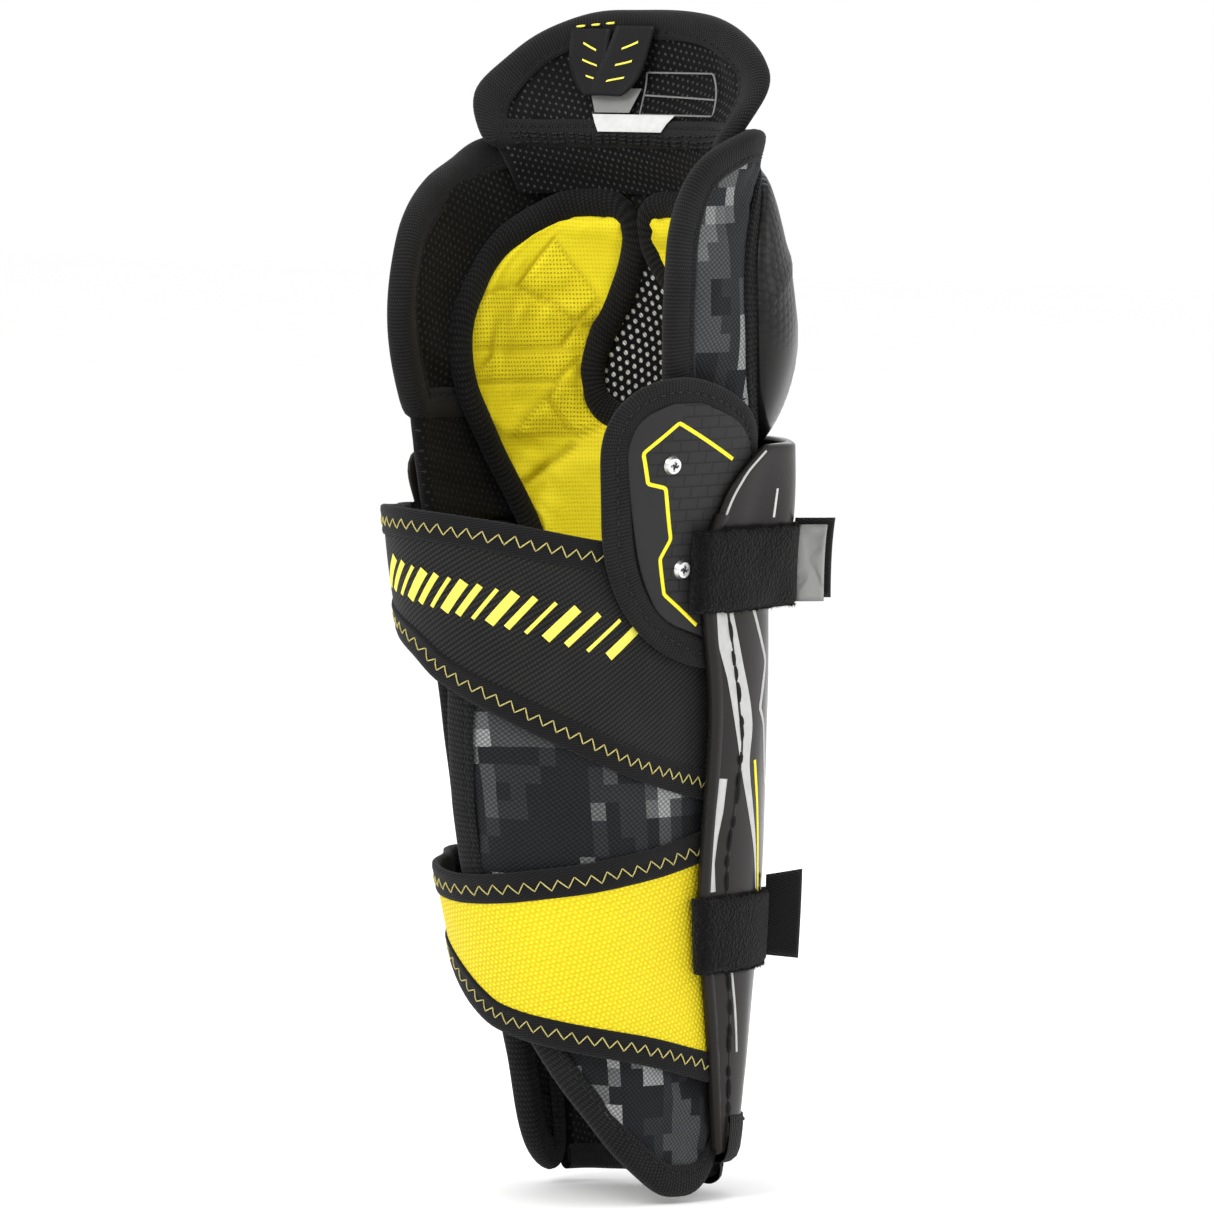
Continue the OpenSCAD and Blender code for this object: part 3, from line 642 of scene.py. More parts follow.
def camo(name, cell=4.4):
    """Woven fabric with blocks in four shades, clustered like a digital camouflage."""
    s = Shader(name, rough=0.85, sheen=0.05, specular=0.12)
    cu = s.times(s.math("FLOOR", s.math("DIVIDE", s.u, cell)), 0.2)
    cv = s.times(s.math("FLOOR", s.math("DIVIDE", s.v, cell * 1.25)), 0.2)
    at = s.node("ShaderNodeCombineXYZ", cu, cv, 0.37).outputs[0]
    blocks = s.node("ShaderNodeTexNoise", at, None, 1.0, 1.0, 0.5).outputs[0]
    light = s.node("ShaderNodeTexNoise", s.node("ShaderNodeMapping", at, (3.1, 7.7, 0.0)).outputs[0],
                   None, 1.25, 1.0, 0.5).outputs[0]
    base = s.ramp(blocks, (0.0, (0.0068, 0.0072, 0.0084)), (0.43, (0.0132, 0.0139, 0.0156)),
                  (0.52, (0.0072, 0.0077, 0.0090)), (0.565, (0.0330, 0.0340, 0.0352)), constant=True)
    base = s.blend(s.ramp(light, (0.0, (0, 0, 0)), (0.575, (0.4, 0.4, 0.4)), (0.61, (1, 1, 1)),
                          constant=True),
                   base, (0.145, 0.148, 0.148))
    diagonal = s.lines(58, 1.1)
    cross = s.lines(-40, 1.3)
    weave = s.times(s.math("MULTIPLY_ADD", diagonal, 0.75, 0.25), s.math("MULTIPLY_ADD", cross, 0.7, 0.3))
    tint = s.shade(base, s.add(s.times(weave, 0.9), s.times(s.noise(70, 3), 0.25)), 0.4, 2.4)
    return s.finish(tint, s.add(weave, s.times(s.noise(2500, 2), 0.3)), 0.22)


def spacer_mesh(name, pitch=2.6, hole=(0.040, 0.038, 0.020), turn=12.0, base=(0.0048, 0.0048, 0.0050),
                edge=0.62, sharp=5.0):
    """Open mesh over a lining that shows through its holes."""
    s = Shader(name, rough=0.88, sheen=0.04, specular=0.08)
    dots = s.dots(pitch, turn)
    mask = s.math("MINIMUM", s.math("MAXIMUM", s.times(s.math("SUBTRACT", dots, edge), sharp), 0.0), 1.0)
    patch = s.noise(45, 2)
    tint = s.blend(s.times(mask, s.math("MULTIPLY_ADD", patch, 1.2, 0.1)), base, hole)
    tint = s.shade(tint, s.lines(turn + 30, pitch * 0.31), 0.6, 1.5)
    height = s.add(s.math("SUBTRACT", 1.0, s.times(mask, 0.9)), s.times(s.noise(2500, 2), 0.3))
    return s.finish(tint, height, 0.5)


def pad_fabric(name):
    """Yellow fabric with a grid of small pits, embossed fields and pressed lines between them; the pits, the
    pressed lines and the deep fold are painted darker as painted shade.
    """
    s = Shader(name, rough=0.66, sheen=0.05, specular=0.2)
    grid = s.add(s.math("COSINE", s.along(0, 1.3)), s.math("COSINE", s.along(90, 1.3)))
    pits = s.math("MAXIMUM", s.times(s.math("SUBTRACT", grid, 0.35), 0.61), 0.0)
    field = s.node("ShaderNodeAttribute", attribute_name="field").outputs["Fac"]
    press = s.node("ShaderNodeAttribute", attribute_name="press").outputs["Fac"]
    strength = s.math("MULTIPLY_ADD", field, 0.55, 0.4)
    # painted shade: darker in the pits, more so inside the embossed fields where the pits are deeper
    colour = s.blend(s.times(pits, strength), (0.88, 0.735, 0.014), (0.46, 0.34, 0.003))
    # painted shade: darker along the pressed lines and in the deep fold
    colour = s.blend(s.times(press, 0.55), colour, (0.50, 0.37, 0.003))
    colour = s.shade(colour, s.noise(28, 3), 0.86, 1.14)
    height = s.add(s.times(s.math("SUBTRACT", 1.0, pits), strength), s.times(s.noise(1800, 2), 0.25))
    return s.finish(colour, height, 0.28)


def yellow_knit(name):
    s = Shader(name, rough=0.66, sheen=0.05, specular=0.2)
    dimples = s.dots(1.55, 18)
    # painted shade: the knit is darker in the low parts between the dimples and lighter on their raised tops
    colour = s.blend(dimples, (0.60, 0.455, 0.004), (0.90, 0.765, 0.020))
    colour = s.shade(colour, s.noise(24, 3), 0.9, 1.12)
    height = s.add(dimples, s.times(s.lines(72, 0.9), 0.3), s.times(s.noise(2000, 2), 0.2))
    return s.finish(colour, height, 0.3)


def thread(name, colour):
    s = Shader(name, rough=0.6, sheen=0.05, specular=0.2)
    return s.finish(s.shade(colour, s.noise(900, 2), 0.7, 1.3), s.lines(35, 0.35), 0.05)


def plastic(name, colour, rough, coat=0.0, grain=0.02, specular=0.28):
    s = Shader(name, coat=coat, specular=specular)
    wear = s.noise(38, 4, 0.6)
    scratch = s.node("ShaderNodeTexNoise", s.node("ShaderNodeMapping", s.place, None, None,
                                                  (900, 60, 60)).outputs[0],
                     None, 1.0, 3.0, 0.6).outputs[0]
    value = s.math("MULTIPLY_ADD", wear, 0.22, rough - 0.1)
    return s.finish(s.shade(colour, s.add(s.times(wear, 0.6), s.times(scratch, 0.3)), 0.7, 1.35),
                    s.add(s.noise(420, 3), s.times(scratch, 0.5)), grain,
                    s.add(value, s.times(scratch, 0.06)))


def plate_plastic(name):
    """Satin plastic with faint moulded brick lines inside the yellow line, painted darker as painted shade.
    """
    s = Shader(name, specular=0.16)
    mask = s.node("ShaderNodeAttribute", attribute_name="field").outputs["Fac"]
    brick = s.node("ShaderNodeTexBrick", s.uv, None, None, None, 1.0, 0.28, 0.3, 0.0, 6.4, 3.6)
    brick.inputs["Color1"].default_value = brick.inputs["Color2"].default_value = (1, 1, 1, 1)
    brick.inputs["Mortar"].default_value = (0, 0, 0, 1)
    face = s.node("ShaderNodeSeparateColor", brick.outputs["Color"]).outputs[0]
    groove = s.times(s.math("SUBTRACT", 1.0, face), mask)
    wear = s.noise(40, 4, 0.6)
    # painted shade: the moulded groove lines are painted darker
    value = s.math("SUBTRACT", s.math("MULTIPLY_ADD", wear, 0.5, 0.35), s.times(groove, 0.35))
    colour = s.shade((0.0155, 0.0155, 0.0158), value, 0.4, 1.8)
    height = s.add(s.math("SUBTRACT", 1.0, groove), s.times(s.noise(1500, 3), 0.3))
    return s.finish(colour, height, 0.12, s.math("MULTIPLY_ADD", wear, 0.2, 0.4))


def hex_plastic(name):
    """Glossy plastic with a field of small raised cells on its upper part; the cells are painted lighter, as
    painted highlight.
    """
    s = Shader(name, coat=0.1, specular=0.1)
    dots = s.dots(3.1, 0)
    z = s.node("ShaderNodeSeparateXYZ", s.place).outputs[2]
    upper = s.node("ShaderNodeMapRange", z, 0.262, 0.286).outputs[0]
    relief = s.times(s.math("MINIMUM", s.times(dots, 1.8), 1.0), upper)
    wear = s.noise(35, 4, 0.6)
    rough = s.add(s.times(upper, 0.16), s.math("MULTIPLY_ADD", wear, 0.18, 0.14))
    # painted highlight: the raised cells are painted lighter
    return s.finish(s.shade((0.0095, 0.0090, 0.0087), s.add(s.times(wear, 0.6), s.times(relief, 0.6)),
                            0.5, 1.9),
                    s.add(relief, s.times(s.noise(700, 2), 0.08)), 0.3, rough)


def loop_tape(name, colour=(0.0042, 0.0041, 0.0043)):
    s = Shader(name, rough=0.97, sheen=0.06, specular=0.04)
    tufts = s.node("ShaderNodeTexVoronoi", s.place, None, 900.0).outputs["Distance"]
    return s.finish(s.shade(colour, s.add(s.times(tufts, 0.6), s.times(s.noise(160, 3), 0.6)), 0.3, 2.4),
                    s.add(tufts, s.noise(1700, 3)), 0.55)


def foam(name):
    s = Shader(name, rough=0.95, specular=0.1)
    cells = s.node("ShaderNodeTexVoronoi", s.place, None, 1300.0).outputs["Distance"]
    return s.finish(s.shade((0.012, 0.012, 0.0125), cells, 0.5, 1.5), cells, 0.25)


def steel(name):
    s = Shader(name, metallic=1.0, rough=0.25)
    brushed = s.noise(1500, 3)
    return s.finish(s.shade((0.78, 0.78, 0.78), brushed, 0.85, 1.1), brushed, 0.02,
                    s.math("MULTIPLY_ADD", s.noise(300, 2), 0.2, 0.2))


def grip_tape(name, colour=(0.27, 0.27, 0.26)):
    """Light folded tape with creases, painted darker along the crease lines as painted shade."""
    s = Shader(name, rough=0.5, sheen=0.05, specular=0.3)
    crease = s.noise(48, 2, 0.5)
    lines = s.math("ABSOLUTE", s.math("SUBTRACT", crease, 0.5))
    sharp = s.math("MINIMUM", s.times(lines, 26.0), 1.0)
    # painted shade: the colour is darker along the crease lines
    return s.finish(s.shade(colour, s.add(s.times(sharp, 0.35), s.times(s.noise(900, 2), 0.2)), 0.75, 1.25),
                    sharp, 0.35)


def satin_ribbon(name):
    s = Shader(name, rough=0.36, sheen=0.03, specular=0.14)
    weft = s.lines(0, 0.7)
    return s.finish(s.shade((0.0062, 0.0061, 0.0064), s.add(s.times(weft, 0.4),
                                                            s.times(s.noise(120, 2), 0.5)), 0.5, 1.7),
                    s.add(weft, s.noise(1400, 2)), 0.05)


def ink(name, colour, rough=0.4):
    s = Shader(name, rough=rough, specular=0.3)
    return s.finish(s.shade(colour, s.noise(260, 4, 0.65), 0.78, 1.18), s.noise(900, 2), 0.03)


M_TAPE = knit_tape("black_knit_tape")
M_RIB = knit_tape("black_ribbed_tape", (0.0062, 0.0061, 0.0062), pitch=1.7, depth=0.35)
M_HEM = twill("black_hem_tape", (0.0062, 0.0063, 0.0068), angle=70, pitch=0.8, low=0.5, high=2.2)
M_TWILL = twill("black_twill_elastic", (0.0085, 0.0083, 0.0081), angle=58, pitch=1.35)
M_CAMO = camo("pixel_camo_fabric")
M_MESH = spacer_mesh("olive_spacer_mesh")
M_MESH_DARK = spacer_mesh("dark_spacer_mesh", 2.4, (0.060, 0.060, 0.058), 20)
# painted shade: a darker copy of the dark spacer mesh, for the liner deep inside the shell and the knee
# gussets between parts
M_MESH_SHADED = spacer_mesh("shaded_lining_mesh", 2.4, (0.026, 0.026, 0.024), 20)
M_MESH_LIGHT = spacer_mesh("open_spacer_mesh", 3.1, (0.55, 0.55, 0.53), 8, edge=0.42, sharp=4.0)
M_PAD = pad_fabric("yellow_dotted_pad")
M_KNIT = yellow_knit("yellow_knit_elastic")
M_THREAD_BLACK = thread("black_thread", (0.008, 0.008, 0.008))
M_THREAD_CREAM = thread("cream_thread", (0.64, 0.56, 0.19))
M_SHELL = plastic("shell_plastic", (0.0150, 0.0132, 0.0125), 0.24, coat=0.1, specular=0.08)
M_CAP = hex_plastic("cap_plastic")
M_PLATE = plate_plastic("wing_plate_plastic")
M_SILVER = ink("silver_print", (0.46, 0.46, 0.45), 0.32)
M_WHITE = ink("white_print", (0.58, 0.58, 0.57))
M_YELLOW_INK = ink("yellow_print", (0.88, 0.76, 0.02), 0.5)
M_PALE_YELLOW = ink("pale_yellow_print", (0.86, 0.78, 0.10), 0.6)
M_LOOP = loop_tape("black_loop_tape")
M_FOAM = foam("black_foam")
M_LABEL = ink("label_print", (0.21, 0.21, 0.205), 0.6)
M_STEEL = steel("steel")
M_GRIP = grip_tape("grey_grip_tape")
M_RIBBON = satin_ribbon("black_ribbon")


# ---- shin: shell and what is under it ----

SHELL_OUTER_EDGE = [[14, 88], [26, 92], [60, 96], [90, 98], [150, 94], [195, 97], [212, 95],
                    [226, 90], [235, 78]]
SHELL_INNER_EDGE = [[14, -86], [26, -92], [60, -96], [100, -98], [160, -98], [198, -99],
                    [216, -104], [228, -103], [235, -92]]
SHELL_RISE = [[14, 7.8], [50, 9.8], [100, 11.2], [155, 13.5], [184, 14.1], [235, 14.1]]
BELL = [[184, 0], [200, 5], [212, 6], [235, 2.5]]


def shell_in(th, z):
    bell = curve(BELL, z) * (1 - smooth((np.abs(th) - 58) / 24))
    ridge = 4 * np.exp(-(th / 15) ** 2) * smooth((z - 12) / 40)
    return curve(SHELL_RISE, z) + bell + ridge


def shell_out(th, z):
    return shell_in(th, z) + SHELL_T


def facets(th, z):
    """Flat moulded facets and long creases on the outside of the shell."""
    side = np.abs(th)
    crease = np.abs((side - 64 - 7 * np.sin(z / 55)) / 16)
    return 0.9 * np.exp(-crease ** 1.2) - 0.5 * np.exp(-np.abs(side - 40) / 7) + 0.12 * wobble(th, z, 22)


shell_chart = between_sides(SHELL_INNER_EDGE, SHELL_OUTER_EDGE, 14, 235)
shell = padded_slab("shell", shell_chart, 130, shell_in, shell_out, 1.2, 2.4, [M_SHELL], relief_out=facets)
attach(shell, "shin", ["shin_shell"])


def on_shell(th, z):
    return shell_out(th, z) + facets(th, z)


P_SHIN = Plane(130)
BEAD = [(0.6, -0.5), (-0.9, -0.3), (-1.2, 1.2), (-0.9, 2.9), (0.6, 3.1), (2.2, 2.6)]
SEAM_IN = [[18, 8], [60, 10], [106, 9.5], [128, 12], [143, 13], [154, 10.5], [184, 6.5]]
for side, edge_table in ((1, SHELL_OUTER_EDGE), (-1, SHELL_INNER_EDGE)):
    tag = "outer" if side > 0 else "inner"
    zs = np.linspace(16, 214, 60)
    edge_line = Path(curve(edge_table, zs) - side * 0.6, zs, P_SHIN, 2.0, soften=3)
    bead = [[side * a, 0, b] for a, b in BEAD]
    o = sweep("shell_edge_bead_" + tag, edge_line, bead, shell_in, shell_out, [M_SHELL])
    attach(o, "shin")
    stitch_z = np.linspace(18, 184, 60)
    stitch_th = curve(edge_table, stitch_z) - side * curve(SEAM_IN, stitch_z)
    seam_line = Path(stitch_th, stitch_z, P_SHIN, 2.0)
    # painted shade: a black strip along the sewn groove, under the stitches, stands for the shade in the
    # groove
    printed("shin", "shell_seam_groove_shade_" + tag, seam_line, 0.5, above(on_shell, 0.02), M_THREAD_BLACK)
    seam("shell_seam_" + tag, seam_line, 0.0, above(on_shell, 0.1), "shin", 5.6, 0.9, 0.7, 1.0)

STRIPE_FRONT = [[96, 65.5], [109, 68.8], [122, 72.3], [136, 75.8], [149, 74.7], [169, 82.1], [186, 88]]
STRIPE_REAR = [[96, 67], [112, 72.2], [124, 77], [134, 81.1], [143, 83.8], [172, 92.7], [186, 96]]
stripe = area("silver_stripe", between_sides(STRIPE_FRONT, STRIPE_REAR, 96, 186),
              above(on_shell, 0.05), M_SILVER)
attach(stripe, "shin")
mirror_stripe = area("silver_stripe_inner", between_sides([[a, -b] for a, b in STRIPE_REAR],
                                                          [[a, -b] for a, b in STRIPE_FRONT],
                                                        96, 186), above(on_shell, 0.05), M_SILVER)
attach(mirror_stripe, "shin")
for side, tag in ((1, "outer"), (-1, "inner")):
    def line(name, corners, half, material):
        th, z = np.array(corners, float).T
        path = Path(side * th, z, P_SHIN, 1.5)
        printed("shin", name + "_" + tag, path, half, above(on_shell, 0.06), material, 0.14)
    line("silver_line", [(75.4, 185), (63.9, 167), (68.8, 152.6), (63.5, 147), (58, 128)], 0.6, M_SILVER)
    line("yellow_line", [(72, 136.7), (68.4, 121), (65.5, 104), (60, 84)], 0.55, M_YELLOW_INK)
    line("white_line", [(40, 184), (52, 150), (47, 128), (56, 70)], 0.8, M_WHITE)
    line("silver_low_line", [(90, 92), (86, 76), (82, 60), (79, 46)], 0.5, M_SILVER)
    # painted highlight: a silver line along the edge bead stands for the bright highlight on the shell's
    # edge, on both sides
    line("edge_highlight_line", [(90.8, 132), (92, 122), (94, 114), (95.2, 106), (94.8, 97)], 1.6, M_SILVER)
printed("shin", "white_mark_line", Path([70.5, 70.5], [221, 212], P_SHIN, 0.7), 0.28,
        above(on_shell, 0.05), M_WHITE)
rim_z = np.linspace(213, 233, 24)
rim_line = Path(curve(SHELL_OUTER_EDGE, rim_z) - 1.6, rim_z, P_SHIN, 1.5)
printed("shin", "shell_rim_line", rim_line, 0.35, above(on_shell, 0.03), M_SILVER)

foam_chart = between_sides([[0, -56]], [[0, 56]], 18, 224)
o = padded_slab("shin_foam_pad", foam_chart, 130, level(WRAP_T + 0.6), above(shell_in, -0.7), 3, 5, [M_FOAM],
                relief_out=lambda th, z: 0.3 * wobble(th, z, 16) - 0.5)
attach(o, "shin", ["shin_foam"])

tape_th = np.linspace(-84, 84, 60)
tape_line = Path(tape_th, mix(7.6, 10.6, (tape_th + 84) / 168) + 1.6, P_SHIN, 2.0)
tape_shape = [[14.0, 0, 0.3], [13.6, 0, 1.3], [10.5, 0, 1.7], [7, 0, 1.8], [3, 0, 1.7], [0.3, 0, 0.9],
              [-1.2, 0, -0.8],
              [-1.4, 0, -2.2], [-1.0, 0, -4.2], [0.6, 0, -5.2], [3.4, 0, -4.6], [4.6, 0, -3.2]]
o = sweep("shell_tape", tape_line, tape_shape, shell_out, shell_out, [M_RIB], True, 0.12)
attach(o, "shin", ["shell_lower_binding"])
seam("shell_tape_stitch", tape_line, 11.8, above(shell_out, 1.7), "shin", 2.6, 1.4, 0.3)

LINER_HALF = 68
liner_chart = between_sides([[0, -LINER_HALF]], [[0, LINER_HALF]], 5.5, 230)


def quilt(th, z):
    """Slanted quilting lines, 46 mm apart."""
    return 0.45 * np.exp(-(((z + 0.25 * th) % 46 - 23) / 2.2) ** 2) + 0.25 * wobble(th, z, 20)


def liner_out(th, z):
    return WRAP_T - 1.4 * smooth((z - 210) / 12)


o = padded_slab("shin_liner_mesh", liner_chart, 130, level(0), liner_out, 3.2, 3, [M_FOAM, M_MESH_SHADED],
                relief_in=quilt, sim=(2.0, 0.02, 14, 0.0012))
attach(o, "shin", ["shin_liner"])

liner_line = Path(np.linspace(-LINER_HALF - 3, LINER_HALF + 3, 60), np.full(60, 3.6), P_SHIN, 2.2)
o = sweep("liner_hem", liner_line, tape_profile(7.5, 6.4, 0.1), level(0), level(WRAP_T), [M_TAPE], False,
          0.12)
attach(o, "shin")

# ---- knee ----

KNEE_BLEND = ("shin", "knee", (0, -0.01, 0.228), (0, -0.01, 0.248))
PAD_T = 5

# the two sides of each yellow lobe: height and angle
INNER_SIDE = [[150, -50], [204, -66], [226, -80], [240, -90], [255, -96], [271, -95], [286, -84],
              [297, -62], [305, -34]]
INNER_MID = [[150, 2], [226, 2], [234, -14], [240, -33], [251, -39], [263, -37], [276, -27], [292, -17],
             [305, -14]]
OUTER_MID = [[150, 2.5], [226, 2.5], [233, 10], [240, 20], [251, 23], [263, 21], [276, 10], [292, -3],
             [305, -5]]
OUTER_SIDE = [[150, 50], [204, 64], [226, 70], [240, 76], [255, 80], [271, 79], [286, 70], [297, 50],
              [305, 22]]

# embossed fields of the yellow pad, as convex shapes given by angle and height
FIELDS = [[(-68, 281), (-48.5, 295), (-31, 277), (-41, 270)], [(-101, 277), (-68, 281), (-49, 275.5),
                                                               (-41.5, 268.5), (-48.5, 262), (-103, 262)],
          [(-32.5, 275), (-22, 275), (-31, 266.5), (-40, 269)], [(-48, 261), (-41.5, 267.5), (-34, 261)],
          [(-51, 250.5), (-37, 250.5), (-31.5, 238), (-42, 234), (-55, 246.5)],
          [(-83, 260), (-38, 260), (-39, 251.5), (-52, 251.5), (-76, 236.5), (-97, 253)],
          [(-66, 241), (-56, 246), (-44, 234.5), (-76, 234.5)],
          [(62, 262), (36, 262), (48, 284)], [(64, 256), (40, 256), (50, 238)]]


def field_depths(th, z):
    """How far inside each embossed field a point lies, negative outside."""
    depths = []
    for corners in FIELDS:
        c = np.array(corners, float)
        turn = np.sign(np.cross(c[1] - c[0], c[2] - c[1]))
        inside = np.full(np.shape(th), 9.0)
        for a, b in zip(c, np.roll(c, -1, 0)):
            e = (b - a) / np.linalg.norm(b - a)
            inside = np.minimum(inside, turn * (e[0] * (z - a[1]) - e[1] * (th - a[0])))
        depths.append(inside)
    return np.stack(depths)


def field_lines(th, z, width):
    return np.exp(-(field_depths(th, z) / width) ** 2).max(0)


def pad_crease(th, z):
    """A deep fold that runs down and back from the edge of the inner lobe; the fold is also painted darker,
    as painted shade.
    """
    fold = 232.5 + 0.5 * (th + 41) + 0.0022 * (th + 41) ** 2
    return np.exp(-((z - fold) / 1.2) ** 2) * smooth((-40 - th) / 5) * smooth((th + 80) / 9)


def pad_relief(th, z):
    groove = 0.7 * field_lines(th, z, 0.8)
    return groove + 1.6 * pad_crease(th, z) + 0.3 * wobble(th, z, 17, 1.0)


def paint(o, name, z_mid, value):
    """Stores a value that depends on angle and height on every point, for the material to read."""
    loops, points = len(o.data.loops), len(o.data.vertices)
    uv, index = np.zeros(loops * 2, np.float32), np.zeros(loops, np.int32)
    o.data.uv_layers[0].data.foreach_get("uv", uv)
    o.data.loops.foreach_get("vertex_index", index)
    spot = np.zeros((points, 2))
    spot[index] = uv.reshape(-1, 2)
    layer = o.data.attributes.new(name, "FLOAT", "POINT")
    layer.data.foreach_set("value", value(Plane(z_mid).to_th(spot[:, 0]), spot[:, 1]).astype(np.float32))


def lobe(name, low, high, body_nodes):
    chart = between_sides(low, high, 150, 303)
    o = padded_slab(name, chart, 250, level(-PAD_T - 0.8), level(-0.3), 5.5, 1.15, [M_PAD],
                    relief_in=pad_relief,
                    sim=(3.5, 0.03, 16, 0.0015))
    paint(o, "field", 250, lambda th, z: smooth((field_depths(th, z).max(0) + 0.3) / 0.8))
    # painted shade: marks the pressed lines and the deep fold to be painted darker
    paint(o, "press", 250, lambda th, z: np.maximum(field_lines(th, z, 0.6), 0.9 * pad_crease(th, z)))
    attach(o, KNEE_BLEND, body_nodes)


lobe("yellow_pad_inner", INNER_SIDE, INNER_MID, ["shin_pad", "knee_pad_inner"])
lobe("yellow_pad_outer", OUTER_MID, OUTER_SIDE, ["knee_pad_outer"])

P_KNEE = Plane(265)


def piping(name, low, high, r, nodes=()):
    """A thick black roll round the upper part of a lobe."""
    up_z = np.linspace(196, 302, 50)
    top_th = np.linspace(curve(low, 302), curve(high, 302), 12)[1:-1]
    down_z = np.linspace(302, 214, 45)
    th = np.concatenate([curve(low, up_z), top_th, curve(high, down_z)])
    z = np.concatenate([up_z, np.full(10, 304.5), down_z])
    path = Path(th, z, P_KNEE, 2.4, soften=4.5)
    shape = [[2.6 + r * 1.4 * math.sin(a), 0, -r * 0.95 * (1 - math.cos(a)) + 0.5]
             for a in np.linspace(0, 2 * math.pi, 15)[:-1]]
    o = sweep(name, path, shape, level(0), level(0), [M_RIB], True, 0.2)
    attach(o, KNEE_BLEND, nodes)
    s = running_stitch(name + "_stitch", path, 5.0, level(-r * 1.35), M_THREAD_BLACK, 2.4, 1.6, 0.3)
    attach(s, KNEE_BLEND)


piping("pad_piping_inner", INNER_SIDE, INNER_MID, 3.3, ["knee_pad_piping"])
piping("pad_piping_outer", OUTER_MID, OUTER_SIDE, 3.0)

CHANNEL_LOW = [[238, -26], [251, -34], [263, -33], [276, -23], [292, -12.5], [306, -9.5]]
CHANNEL_HIGH = [[238, 16], [251, 18], [263, 17], [276, 5], [292, -7], [306, -8.5]]
channel = padded_slab("knee_channel", between_sides(CHANNEL_LOW, CHANNEL_HIGH, 238, 306), 265,
                      level(-1.8), level(0.2), 1.0, 2.0,
                      [M_MESH_LIGHT])
attach(channel, "knee")

KNEE_OUTER_EDGE = [[240, 108], [258, 112], [272, 113], [288, 112.5], [300, 111.5], [309, 109.5], [319, 104.5],
                   [325, 96], [328, 84]]
KNEE_INNER_EDGE = [[240, -117], [250, -120], [270, -125], [288, -125.5], [303, -120], [314, -108],
                   [322, -90], [328, -70]]


def knee_chart(u, v):
    z = mix(240, 328, v)
    return mix(curve(KNEE_INNER_EDGE, z), curve(KNEE_OUTER_EDGE, z), u), z + 4 * u * v**4


def knee_relief(th, z):
    turn = np.abs(th)
    fold = 0.5 * np.sin((z + 0.5 * th) / 6.5) * smooth((turn - 74) / 14) * smooth((112 - turn) / 10)
    return 0.35 * wobble(th, z, 18, 0.4) + 0.35 * fold


o = padded_slab("knee_wrap_pad", inset(knee_chart, 0.022, 0.05), 265, level(0.4), level(WRAP_T - 0.4),
                3.0, 2.4,
                [M_CAMO, M_MESH], relief_out=knee_relief, relief_in=lambda th,
                z: 0.3 * wobble(th, z, 15, 2.0),
                sim=(3.0, 0.025, 16, 0.0014))
attach(o, "knee", ["knee_wrap"])
knee_rim = outline(knee_chart, P_KNEE, 2.4, 4.0)
o = sweep("knee_binding", knee_rim, tape_profile(9.5, 6.6, 0.25), level(0), level(WRAP_T), [M_TAPE],
          False, 0.15)
attach(o, "knee", ["knee_wrap_binding"])
seam("knee_binding_stitch_out", knee_rim, 7.9, level(WRAP_T + 0.2), "knee")
seam("knee_binding_stitch_in", knee_rim, 7.9, level(-0.2), "knee")

CAP_EDGE = [[233, 46], [238, 60], [248, 72], [265, 79], [289, 78], [304, 70], [314, 58], [320, 42]]


def cap_in(th, z):
    et, ez = np.abs(th) / curve(CAP_EDGE, z), np.abs(z - 277) / 44
    return WRAP_T + 0.6 + 8 * np.maximum(0, (1 - et**3) * (1 - ez**3)) ** 0.6


def cap_chart(margin):
    def chart(u, v):
        z = mix(233 + margin, 320 - margin, v)
        half = curve(CAP_EDGE, z) - margin
        return mix(-half, half, u), z
    return chart


def cap_facets(th, z):
    rib = 0.5 * np.exp(-((np.abs(th) - 44 + 0.3 * (z - 277)) / 3.0) ** 2)
    brow = 0.7 * np.exp(-((z - 300 + 0.0035 * th**2) / 3.0) ** 2)
    return rib + brow


o = padded_slab("knee_cap_shell", cap_chart(0), 277, cap_in, above(cap_in, CAP_T), 1.2, 2.2, [M_CAP],
                relief_out=cap_facets)
attach(o, "knee", ["knee_cap"])
o = padded_slab("knee_foam_pad", cap_chart(11), 277, level(WRAP_T + 0.6), above(cap_in, -0.6), 3, 5, [M_FOAM])
attach(o, "knee", ["knee_foam"])
cap_rim = outline(cap_chart(0), P_KNEE, 2.4, 5.0)
flange = [[-4.6, 0, -0.4], [-4.4, 0, 0.9], [-3.2, 0, 1.3], [-1.6, 0, 1.0], [-0.2, 0, 1.6], [1.4, 0, 3.4],
          [2.2, 0, 3.2]]
o = sweep("cap_flange", cap_rim, flange, level(WRAP_T), level(WRAP_T), [M_RIB], False, 0.1)
attach(o, "knee")
seam("cap_flange_stitch", cap_rim, -2.4, level(WRAP_T + 1.2), "knee", 3.0, 1.4, 0.34)

for k, (low, high, z0) in enumerate(((-LINER_HALF, LINER_HALF, 226), (-116, -70, 208), (70, 106, 208))):
    chart = between_edges([[0, z0]], [[0, 246]], low, high)
    o = padded_slab("knee_gusset_%d" % k, chart, 232, level(0.9), level(WRAP_T - 1.2), 2.2, 2.4,
                    [M_HEM, M_MESH_SHADED], relief_out=lambda th, z: 0.35 * np.sin(z / 1.6) * np.sin(th / 9),
                    relief_in=lambda th, z: 0.3 * np.sin(z / 1.9 + th / 14))
    attach(o, KNEE_BLEND, ["knee_gusset"] if k == 0 else ())

# ---- thigh guard ----

THIGH_EDGE = [[324, 78], [331, 75], [338, 70], [346, 61.5], [353, 52], [359, 42], [363, 33], [366, 23],
              [367.5, 14]]


def thigh_chart(u, v):
    z = mix(324, 367.5, v)
    half = curve(THIGH_EDGE, z)
    return mix(-half - 5 * smooth((352 - z) / 14), half, u), z


